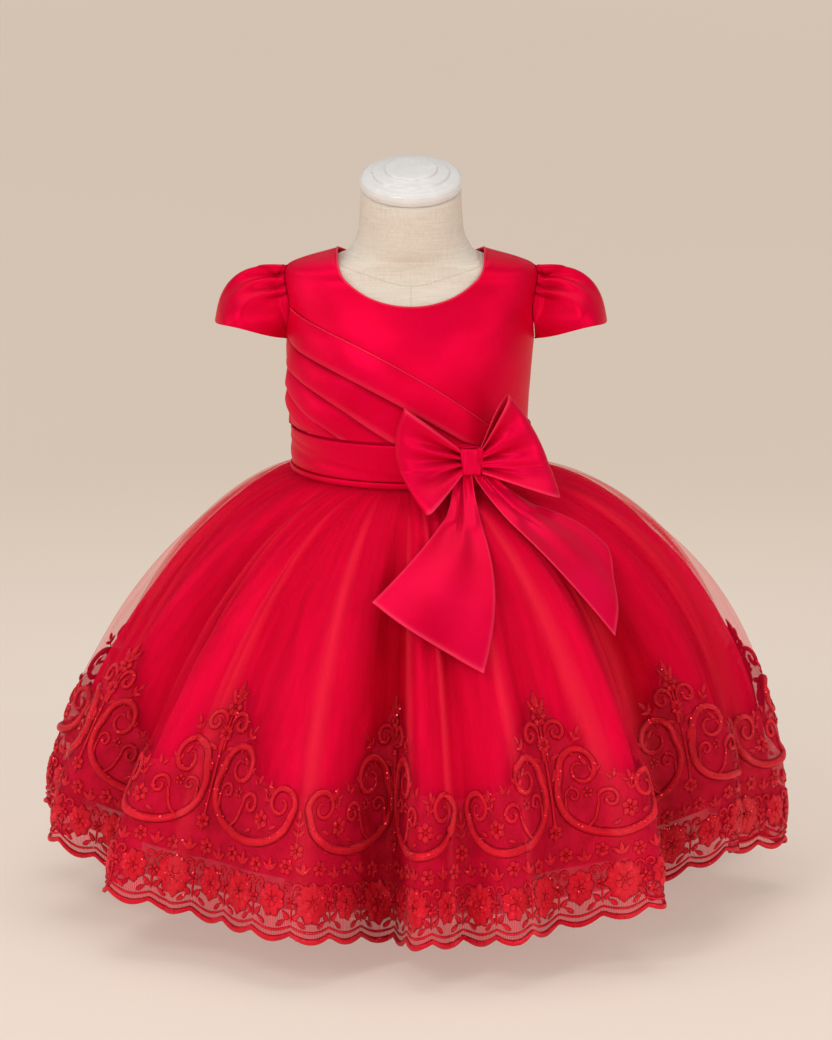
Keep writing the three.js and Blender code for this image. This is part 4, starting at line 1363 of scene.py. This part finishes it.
class Motif:
    """Raised embroidery in (across, up, relief), gathered as points, faces, thread coordinates and marks of
    painted shade at the foot of each shape.
    """

    def __init__(self):
        self.points, self.faces, self.uvs, self.rims, self.count = [], [], [], [], 0

    def add(self, points, faces, uv, rim, mirror=False):
        for sign in (1, -1) if mirror else (1,):
            p = points.copy()
            p[:, 0] *= sign
            self.points.append(p)
            self.uvs.append(uv)
            self.rims.append(rim.ravel())
            order = faces if sign > 0 else faces[:, ::-1]
            self.faces.append(order + self.count)
            self.count += len(p)

    def cord(self, path, width, height, ends=0.35, mirror=False, base=0.0, taper=0.12):
        """A raised cord along a path, thinner at its ends."""
        path, at = resample(path, 2.3)
        tangent = unit(np.gradient(path, axis=0))
        side = np.stack([-tangent[:, 1], tangent[:, 0]], -1)
        share = at / at[-1]
        near_end = np.clip(np.minimum(share, 1 - share) / taper, 0, 1)
        thin = ends + (1 - ends) * near_end**0.7
        t = np.linspace(-1, 1, 6)
        points = np.zeros((len(path), 6, 3))
        off = t[None, :, None] * width / 2 * thin[:, None, None]
        points[..., :2] = path[:, None] - side[:, None] * off
        points[..., 2] = base + height * np.sqrt(np.clip(1 - t**2, 0, 1))[None] * thin[:, None] + 0.15
        uv = np.stack(np.broadcast_arrays(t[None] * width / 20, at[:, None] / 10), -1)
        # painted shade along the cord's two feet
        rim = np.broadcast_to(np.abs(t) ** 2.4, points.shape[:2])
        self.add(points.reshape(-1, 3), grid_faces(6, len(path)), uv.reshape(-1, 2), rim, mirror)

    def petal(self, x, y, angle, length, width, height=1.0, mirror=False, base=0.0, point=0.75):
        """A padded petal or leaf with a vein."""
        a, t = np.meshgrid(np.linspace(0, 1, 6), np.linspace(-1, 1, 5), indexing="ij")
        half = width / 2 * np.sin(np.pi * (0.06 + 0.92 * a) ** point)
        turn = math.radians(angle)
        along = a * length
        off = -t * half
        points = np.stack(
            [
                x + along * math.cos(turn) - off * math.sin(turn),
                y + along * math.sin(turn) + off * math.cos(turn),
                base
                + 1.5 * height * np.sqrt(np.clip(1 - t**2, 0, 1)) * np.sin(np.pi * (0.12 + 0.8 * a))
                - 0.25 * height * np.exp(-((t / 0.3) ** 2))
                + 0.12,
            ],
            -1,
        )
        uv = np.stack([along / 10, off / 10], -1)
        # painted shade round the petal's foot and at its ends
        rim = np.maximum(np.abs(t) ** 2.4, 1 - np.sin(np.pi * (0.1 + 0.8 * a)) ** 0.8)
        self.add(points.reshape(-1, 3), grid_faces(5, 6), uv.reshape(-1, 2), rim, mirror)

    def flower(self, x, y, radius, petals=6, turn=90, mirror=False, base=0.0):
        for k in range(petals):
            angle = turn + 360 * k / petals
            inner = radius * 0.16
            px = x + inner * math.cos(math.radians(angle))
            py = y + inner * math.sin(math.radians(angle))
            long, wide, high = radius * 0.86, radius * 0.82, 0.085 * radius + 0.4
            self.petal(px, py, angle, long, wide, high, mirror, base, 1.25)
        ring = np.linspace(0, TWO_PI, 9)
        eye = np.stack([x + radius * 0.17 * np.cos(ring), y + radius * 0.17 * np.sin(ring)], -1)
        self.cord(eye, radius * 0.2, 0.9, 1.0, mirror, base + 0.7)

    def spray(self, x, y, angle, length, pairs, leaf, mirror=False):
        """A little stem with pairs of leaves."""
        turn = math.radians(angle)
        tip = (x + length * math.cos(turn), y + length * math.sin(turn))
        self.cord([(x, y), ((x + tip[0]) / 2, (y + tip[1]) / 2), tip], 1.4, 0.6, 0.6, mirror)
        for k in range(pairs):
            share = (k + 0.6) / (pairs + 0.3)
            px, py = lerp(x, tip[0], share), lerp(y, tip[1], share)
            for side in (-1, 1):
                self.petal(px, py, angle + side * 46, leaf * (1 - 0.25 * share), leaf * 0.42, 0.8, mirror)
        self.petal(tip[0], tip[1], angle, leaf, leaf * 0.45, 0.8, mirror)


def draw_repeat():
    """One repeat of the border: wide scrolls under a leafy spire, over a dense band of flowers."""
    m = Motif()
    full = np.linspace(-HALF, HALF, 90)
    m.cord(np.stack([full, np.full(90, 1.6)], -1), 4.2, 1.9, 1.0)
    m.cord(np.stack([full, np.full(90, 7.0)], -1), 1.7, 0.9, 1.0)
    # the great scroll: up from the dip, along the foot, and over in a lobe by the spire
    lobe = spiral(27, 110, 18.0, 1.35, 185, -1)[::-1]
    foot = smooth_path(
        [(9.1, 108.4), (5.5, 95), (8, 81), (17, 70), (33, 62.5), (52, 60), (71, 63.5), (85, 73), (92.4, 90)]
    )
    curl = spiral(79, 91, 13.5, 1.3, -5, 1)
    m.cord(np.concatenate([lobe, foot[1:-1], curl]), 7.2, 2.9, 0.3, True, taper=0.3)
    m.cord(smooth_path([(26, 66), (33, 72), (37.2, 82), (38.5, 86)]), 3.0, 1.5, 0.6, True)
    m.cord(spiral(46.5, 86, 8.8, 1.25, 185, -1), 3.8, 1.8, 0.4, True)
    m.cord(smooth_path([(12, 76), (11, 84), (11.4, 90)]), 2.6, 1.3, 0.6, True)
    m.cord(spiral(18, 91, 6.6, 1.15, 185, -1), 3.0, 1.5, 0.4, True)
    m.flower(61, 77, 7.6, 6, 90, True)
    m.spray(62, 87, 62, 10, 1, 7.5, True)
    m.petal(70, 72, 20, 9, 4, 1.0, True)
    m.petal(52, 69, 200, 8, 3.6, 1.0, True)
    m.petal(33, 112, 120, 9, 4.4, 1.0, True)
    m.flower(30, 92, 4.6, 5, 90, True)
    # the spire
    m.cord([(0, 58), (0.5, 85), (-0.4, 120), (0, 150)], 2.4, 1.3, 0.7)
    m.cord(smooth_path([(2, 118), (2, 127), (3.2, 139)]), 3.0, 1.5, 0.5, True)
    m.cord(spiral(12.5, 140, 9.6, 1.25, 187, -1), 4.4, 2.0, 0.4, True)
    m.spray(24, 129, 52, 9, 1, 9.0, True)
    m.flower(21.5, 124, 4.6, 5, 70, True)
    m.flower(0, 66, 6.2, 6, 90, base=0.5)
    m.flower(0, 131, 6.4, 6, 90, base=0.8)
    m.flower(0, 152, 7.6, 6, 60, base=0.8)
    m.petal(3.5, 102, 68, 14, 5.6, 1.3, True)
    m.petal(4.0, 119, 24, 10, 4.4, 1.0, True)
    m.petal(4.0, 146, 16, 9, 4.4, 1.0, True)
    m.petal(0, 157, 90, 16, 7.4, 1.5)
    m.petal(2.2, 156, 58, 12, 5.2, 1.2, True)
    # the dip
    m.spray(HALF, 66, 90, 16, 2, 8.0)
    m.flower(HALF, 60, 6.4, 6, 90)
    # the dense band
    count = 14
    for k in range(count):
        s = -HALF + REPEAT_WIDTH * (k + 0.5) / count
        wobble = 1.6 * math.sin(2.1 * k + 0.6)
        if k % 2:
            m.flower(s, 47.5 + wobble, 6.2, 6, 90 + 25 * k)
        else:
            m.petal(s, 42 + wobble, 90, 11, 4.8, 1.1)
            m.petal(s, 43 + wobble, 42, 9, 4.0, 1.0)
            m.petal(s, 43 + wobble, 138, 9, 4.0, 1.0)
    scallop = REPEAT_WIDTH / SCALLOPS
    for k in range(SCALLOPS):
        s = -HALF + scallop * (k + 0.5)
        radius = (14.2, 11.4)[k % 2]
        m.flower(s, 25, radius, 9 if k % 2 == 0 else 8, 90 + 14 * k)
        m.flower(s, 25, radius * 0.55, 6, 75 + 20 * k, base=1.2)
        for side in (-1, 1):
            m.petal(s + side * 5, 9.6, 90 - side * 68, 8.0, 3.8, 0.9)
    for k in range(SCALLOPS):
        s = -HALF + scallop * k
        for side in (-1, 1):
            curl = spiral(0, 0, 4.6, 1.1, 200 if side > 0 else -20, -side)
            m.cord(curl + np.array([s + side * 5.0, 33.5]), 2.4, 1.2, 0.4)
            m.petal(s + side * 1.5, 12, 90 - side * 40, 9, 4.2, 1.0)
        m.cord([(s, 10), (s, 20), (s, 31)], 1.8, 0.9, 0.7)
        m.flower(s, 24, 4.6, 5, 90 + 30 * k, base=0.5)
    # sprigs on the way down from the spire to the dip
    for at, turn in ((38, 40), (52, 66), (66, 92)):
        height = float(lace_height(np.array(at / REPEAT_WIDTH))) - 4.0
        m.petal(at, height, turn, 8.5, 4.0, 1.0, True)
        m.petal(at - 2, height - 1, turn + 60, 6.5, 3.2, 0.9, True)
    return [np.concatenate(part) for part in (m.points, m.faces, m.uvs, m.rims)]


motif_points, motif_faces, motif_uvs, motif_rims = draw_repeat()


def embroidery(name, first, last):
    """The motif laid on repeats first to last."""
    repeats, points, faces, uvs, start = [], [], [], [], 0
    for k in range(first, last):
        repeat = k + motif_points[:, 0] / REPEAT_WIDTH
        repeats.append(repeat)
        points.append(lace_point(repeat, motif_points[:, 1], motif_points[:, 2]))
        faces.append(motif_faces + start)
        uvs.append(motif_uvs + np.array([0.37 * k, 0.91 * k]))
        start += len(motif_points)
    piece = make(name, np.concatenate(points), np.concatenate(faces), np.concatenate(uvs))
    piece.data.materials.append(thread)
    place = place_at(np.concatenate(repeats))
    rims = np.tile(motif_rims, last - first)
    return mark(piece, rim=rims, **fold_light_marks(place, np.full(len(place), LACE_DOWN)))


def lace_ground(name, first, count, per_fold=44, rows=26):
    """The border's net, from its scalloped edge up to the tulle."""
    place = np.linspace(first + GAP, first + count - GAP, count * per_fold + 1)
    repeat = repeat_at(place)
    height = np.linspace(0, 1, rows)[:, None] * lace_height(repeat)[None]
    grid = lace_point(np.broadcast_to(repeat, height.shape), height)
    marks = fold_light_marks(np.broadcast_to(place, height.shape), np.full(height.shape, LACE_DOWN))
    return mark(single(name, grid, lace_net), **marks)


def scatter_tree():
    """Discs spread over a surface, with named inputs."""
    tree = bpy.data.node_groups.new("sequins over a surface", "GeometryNodeTree")
    sockets = tree.interface
    sockets.new_socket("Surface", in_out="INPUT", socket_type="NodeSocketGeometry")
    sizes = {"Per Square Metre": "Float", "Size": "Float", "Lift": "Float", "Seed": "Int"}
    for name, kind in sizes.items():
        sockets.new_socket(name, in_out="INPUT", socket_type="NodeSocket" + kind)
    sockets.new_socket("Sequins", in_out="OUTPUT", socket_type="NodeSocketGeometry")

    def node(kind, **settings):
        made = tree.nodes.new(kind)
        for key, value in settings.items():
            setattr(made, key, value)
        return made

    source = node("NodeGroupInput")
    spread = node("GeometryNodeDistributePointsOnFaces", distribute_method="RANDOM")
    disc = node("GeometryNodeMeshCircle", fill_type="NGON")
    disc.inputs["Vertices"].default_value = 7
    shift = node("ShaderNodeCombineXYZ")
    raised = node("GeometryNodeTransform")
    vary = node("FunctionNodeRandomValue", data_type="FLOAT")
    place = node("GeometryNodeInstanceOnPoints")
    whole = node("GeometryNodeRealizeInstances")
    dress = node("GeometryNodeSetMaterial")
    dress.inputs["Material"].default_value = glint
    result = node("NodeGroupOutput")
    link = tree.links.new
    link(source.outputs["Surface"], spread.inputs["Mesh"])
    link(source.outputs["Per Square Metre"], spread.inputs["Density"])
    link(source.outputs["Seed"], spread.inputs["Seed"])
    link(source.outputs["Size"], disc.inputs["Radius"])
    link(source.outputs["Lift"], shift.inputs["Z"])
    link(disc.outputs["Mesh"], raised.inputs["Geometry"])
    link(shift.outputs[0], raised.inputs["Translation"])
    link(source.outputs["Seed"], vary.inputs["Seed"])
    vary.inputs[2].default_value = 0.7
    vary.inputs[3].default_value = 1.2
    link(spread.outputs["Points"], place.inputs["Points"])
    link(spread.outputs["Rotation"], place.inputs["Rotation"])
    link(raised.outputs["Geometry"], place.inputs["Instance"])
    link(vary.outputs[1], place.inputs["Scale"])
    link(place.outputs["Instances"], whole.inputs["Geometry"])
    link(whole.outputs["Geometry"], dress.inputs["Geometry"])
    link(dress.outputs["Geometry"], result.inputs["Sequins"])
    return tree


# Sequins: how many to a square metre, and their radius and lift in mm
SEQUIN_DENSITY = 52000
SEQUIN_RADIUS = 0.5
SEQUIN_LIFT = 0.25


def scattered(name, surface, seed, tree):
    """A mesh of what the tree lays over a surface; the surface itself stays as it is."""
    carrier = bpy.data.objects.new(name.replace(" ", "_"), surface.data.copy())
    COLLECTION.objects.link(carrier)
    modifier = carrier.modifiers.new("sequins", "NODES")
    modifier.node_group = tree
    values = {
        "Per Square Metre": SEQUIN_DENSITY,
        "Size": SEQUIN_RADIUS * MM,
        "Lift": SEQUIN_LIFT * MM,
        "Seed": seed,
    }
    for item in tree.interface.items_tree:
        if item.name in values:
            modifier[item.identifier] = values[item.name]
    bpy.context.view_layer.update()
    graph = bpy.context.evaluated_depsgraph_get()
    made = bpy.data.meshes.new_from_object(carrier.evaluated_get(graph))
    carrier.modifiers.clear()
    carrier.data = made
    return carrier


lace_front = lace_ground("lace net front", 0, FRONT)
lace_back = lace_ground("lace net back", FRONT, COUNT - FRONT)
embroidery_front = embroidery("embroidery front", 0, FRONT_REPEATS)
embroidery_back = embroidery("embroidery back", FRONT_REPEATS, REPEATS)
sequin_tree = scatter_tree()
sequins_front = scattered("sequins front", embroidery_front, 5, sequin_tree)
sequins_back = scattered("sequins back", embroidery_back, 6, sequin_tree)

# Dress form


def form_grid():
    """The linen body, a little inside the cloth, with a line for each of its seams."""
    z = np.concatenate([np.linspace(FORM_FOOT, 440, 60), np.linspace(442, NECK_TOP, 90)])
    z, angle = np.meshgrid(z, np.linspace(0, 360, 160, endpoint=False), indexing="ij")
    give = lerp(FORM_EASE, SHOULDER_EASE, np.sin(np.radians(angle)) ** 6)
    out = -give * np.clip((495 - z) / 12, 0, 1)
    seam = np.exp(-((((angle + 180) % 360 - 180) / 0.7) ** 2)) * 0.5
    ring = np.exp(-(((z - 489) / 0.6) ** 2)) * 0.5
    return on_form(angle, z, out - seam - ring)


def lofted(name, grid, material):
    """A closed body through rings of points, shut at both ends."""
    rows, columns = grid.shape[:2]
    points = np.concatenate([grid.reshape(-1, 3), [grid[0].mean(0)], [grid[-1].mean(0)]])
    low = rows * columns
    faces = grid_faces(columns, rows, closed=True).tolist()
    for i in range(columns):
        n = (i + 1) % columns
        faces.append([low, n, i])
        faces.append([low + 1, low - columns + i, low - columns + n])
    piece = make(name, points, faces, np.zeros((len(points), 2)))
    piece.data.materials.append(material)
    return piece


form_body = lofted("linen form body", form_grid(), linen)


def rounded(profile, radius, steps=4):
    """A profile of (radius, height) with its corners rounded."""
    p = np.asarray(profile, float)
    out = [p[0]]
    for k in range(1, len(p) - 1):
        a, b, c = p[k - 1], p[k], p[k + 1]
        near = min(radius, np.linalg.norm(a - b) * 0.45, np.linalg.norm(c - b) * 0.45)
        start = b + unit(a - b) * near
        end = b + unit(c - b) * near
        for t in np.linspace(0, 1, steps):
            out.append((1 - t) ** 2 * start + 2 * t * (1 - t) * b + t * t * end)
    out.append(p[-1])
    return np.array(out)


def turned(name, profile, material, sides, tilt=0.0, at=(0, 0, 0)):
    """A solid of revolution whose profile runs from its low middle out and up to its top middle."""
    profile = profile[1:-1]
    turn = np.linspace(0, TWO_PI, sides, endpoint=False)
    x = profile[:, :1] * np.sin(turn)[None]
    y = -profile[:, :1] * np.cos(turn)[None]
    z = np.broadcast_to(profile[:, 1:], x.shape)
    c, s = math.cos(math.radians(tilt)), math.sin(math.radians(tilt))
    grid = np.stack([x, y * c - z * s, y * s + z * c], -1) + np.array(at)
    return lofted(name, grid, material)


# Outlines of (radius, height)
CAP = [
    (0, 0),
    (35.5, 0),
    (37.3, 1.6),
    (38, 5),
    (37.4, 8.2),
    (35.2, 10.2),
    (28.6, 10.9),
    (28.0, 13.1),
    (19.6, 13.7),
    (19.0, 16.0),
    (0, 16.6),
]
POLE = [
    (0, BASE_HEIGHT + FORM_GAP),
    (POLE_RADIUS, BASE_HEIGHT + FORM_GAP),
    (POLE_RADIUS, FORM_FOOT - FORM_GAP),
    (0, FORM_FOOT - FORM_GAP),
]
BASE = [
    (0, 0),
    (BASE_RADIUS - 2, 0),
    (BASE_RADIUS, 2),
    (BASE_RADIUS, BASE_HEIGHT - 6),
    (BASE_RADIUS - 3, BASE_HEIGHT - 2),
    (BASE_RADIUS - 9, BASE_HEIGHT),
    (0, BASE_HEIGHT),
]
CAP_AT = (0, NECK_CENTRE, NECK_TOP + FORM_GAP)
neck_cap = turned("white neck cap", rounded(CAP, 0.55), white, 128, NECK_TILT, CAP_AT)
form_pole = turned("steel form pole", rounded(POLE, 0.4), steel, 64)
form_base = turned("white form base", rounded(BASE, 1.0), base_white, 128)

# Riding, replacing and cloth


def cloth(piece, nodes, slot, flat, held, area=None):
    """Attach a piece of cloth to the root and hide the parts it replaces; its slot, flat size in metres,
    hold and cut's area in square metres are not used.
    """
    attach(piece, "root")
    if nodes:
        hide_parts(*nodes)


def solid(piece, nodes):
    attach(piece, "root")
    if nodes:
        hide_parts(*nodes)


cloth(bodice_front, ["bodice_front"], "satin", (0.29, 0.17), "hung", area=0.034)
cloth(bodice_back_left, ["bodice_back_left"], "satin", (0.14, 0.155), "hung", area=0.0184)
cloth(bodice_back_right, ["bodice_back_right"], "satin", (0.14, 0.155), "hung", area=0.0184)
cloth(draped_panel, ["draped_panel"], "satin", (0.19, 0.12), "folded", area=0.0135)
cloth(sleeve_left, ["sleeve_left"], "satin", (0.15, 0.065), "gathered", area=0.0073)
cloth(sleeve_right, ["sleeve_right"], "satin", (0.15, 0.065), "gathered", area=0.0073)
cloth(sash, ["sash"], "satin", (0.52, 0.029), "hung")
cloth(sash_fold, ["sash_fold"], "satin", (0.52, 0.01), "folded", area=0.003)
for piece, loop in zip(bow_loops, LOOPS):
    cloth(piece, [loop["name"]], "satin", (0.125, 0.08), "folded", area=0.0063)
solid(bow_knot, ["bow_knot"])
for piece, tail in zip(bow_tails, TAILS):
    cloth(piece, [tail["name"]], "satin", (0.1, 0.15), "gathered", area=tail["cut"])
cloth(tulle_front, ["skirt_tulle_front"], "tulle", (1.1, 0.26), "gathered", area=0.155)
cloth(tulle_back, ["skirt_tulle_back"], "tulle", (1.1, 0.26), "gathered", area=0.155)
cloth(inner_tulle_front, [], "tulle", (1.1, 0.34), "gathered", area=0.225)
cloth(inner_tulle_back, [], "tulle", (1.1, 0.34), "gathered", area=0.225)
cloth(lining_front, ["skirt_lining_front"], "lining", (1.0, 0.33), "gathered", area=0.205)
cloth(lining_back, ["skirt_lining_back"], "lining", (1.0, 0.33), "gathered", area=0.205)
cloth(lace_front, ["lace_border_front"], "lace", (1.1, 0.18), "hung", area=0.12)
cloth(lace_back, ["lace_border_back"], "lace", (1.1, 0.18), "hung", area=0.12)
for piece in (embroidery_front, embroidery_back, sequins_front, sequins_back):
    solid(piece, [])
for piece in (neckline, wrap_edge, back_seam, side_seams):
    solid(piece, [])
solid(form_body, ["form_body"])
solid(neck_cap, ["neck_cap"])
solid(form_pole, ["form_pole"])
solid(form_base, ["form_base"])

# Floor, light and camera
FLOOR_REACH = 14000
FLOOR_LINES = 29


def studio_floor():
    """A wide pale floor that fills the picture from every side. Its colour by distance is painted light:
    lighter round the object, darker a little way off and lighter again far off; and it glows, which
    lightens the shadow under the skirt.
    """
    line = np.linspace(-FLOOR_REACH, FLOOR_REACH, FLOOR_LINES)
    x, y = np.meshgrid(line, line)
    points = np.stack([x, y, np.zeros_like(x)], -1).reshape(-1, 3)
    floor = make("floor", points, grid_faces(FLOOR_LINES, FLOOR_LINES), np.zeros((len(points), 2)))
    look = Look("floor paper")
    soft = look.noise(look.place(), 1.6, 3.0) * 0.5 + 0.25
    fine = look.noise(look.place(), 900.0, 2.0)
    across, back, _ = look.split(look.place())
    away = (across * across + back * back) ** 0.5
    near = look.mix(soft, colour(191, 178, 166), colour(196, 183, 171))
    middle = look.mix(soft, colour(183, 168, 153), colour(187, 172, 157))
    far = look.mix(soft, colour(201, 185, 170), colour(205, 189, 174))
    # painted light: the floor's colour by distance from the object
    tone = look.mix(away.ramp(1.4, 4.5), look.mix(away.ramp(0.6, 1.3), near, middle), far)
    floor.data.materials.append(
        look.set(
            Base_Color=tone,
            Roughness=0.95,
            # painted glow: the floor emits its own colour, which lightens the cast shadow under the skirt
            Emission_Color=tone,
            Emission_Strength=0.66,
            Normal=look.bump(fine, 0.05, 0.0005),
        )
    )
    return floor


studio_floor()


def area_light(name, at, target, size, power):
    data = bpy.data.lights.new(name, "AREA")
    data.shape = "RECTANGLE"
    data.size, data.size_y = size
    data.energy = power
    light = bpy.data.objects.new(name, data)
    light.location = at
    light.rotation_euler = (Vector(target) - Vector(at)).to_track_quat("-Z", "Y").to_euler()
    COLLECTION.objects.link(light)


for name, settings in LIGHTS.items():
    area_light(name, *settings)

bpy.context.scene.view_settings.view_transform = "Standard"

world = bpy.data.worlds.new("studio")
bpy.context.scene.world = world
world.use_nodes = True
background = world.node_tree.nodes["Background"]
background.inputs["Color"].default_value = (1.0, 0.965, 0.93, 1)
background.inputs["Strength"].default_value = 0.36

camera_data = bpy.data.cameras.new("camera")
camera_data.sensor_width = 36
camera_data.lens = camera_data.sensor_width * CAMERA_DISTANCE / PICTURE_HEIGHT
camera_data.clip_end = 50
camera = bpy.data.objects.new("camera", camera_data)
target = Vector((0.0037, 0, 0.2838))
elevation = math.radians(CAMERA_HEIGHT)
away = Vector((0, -math.cos(elevation), math.sin(elevation))) * CAMERA_DISTANCE
camera.location = target + away
camera.rotation_euler = (target - camera.location).to_track_quat("-Z", "Y").to_euler()
COLLECTION.objects.link(camera)
bpy.context.scene.camera = camera

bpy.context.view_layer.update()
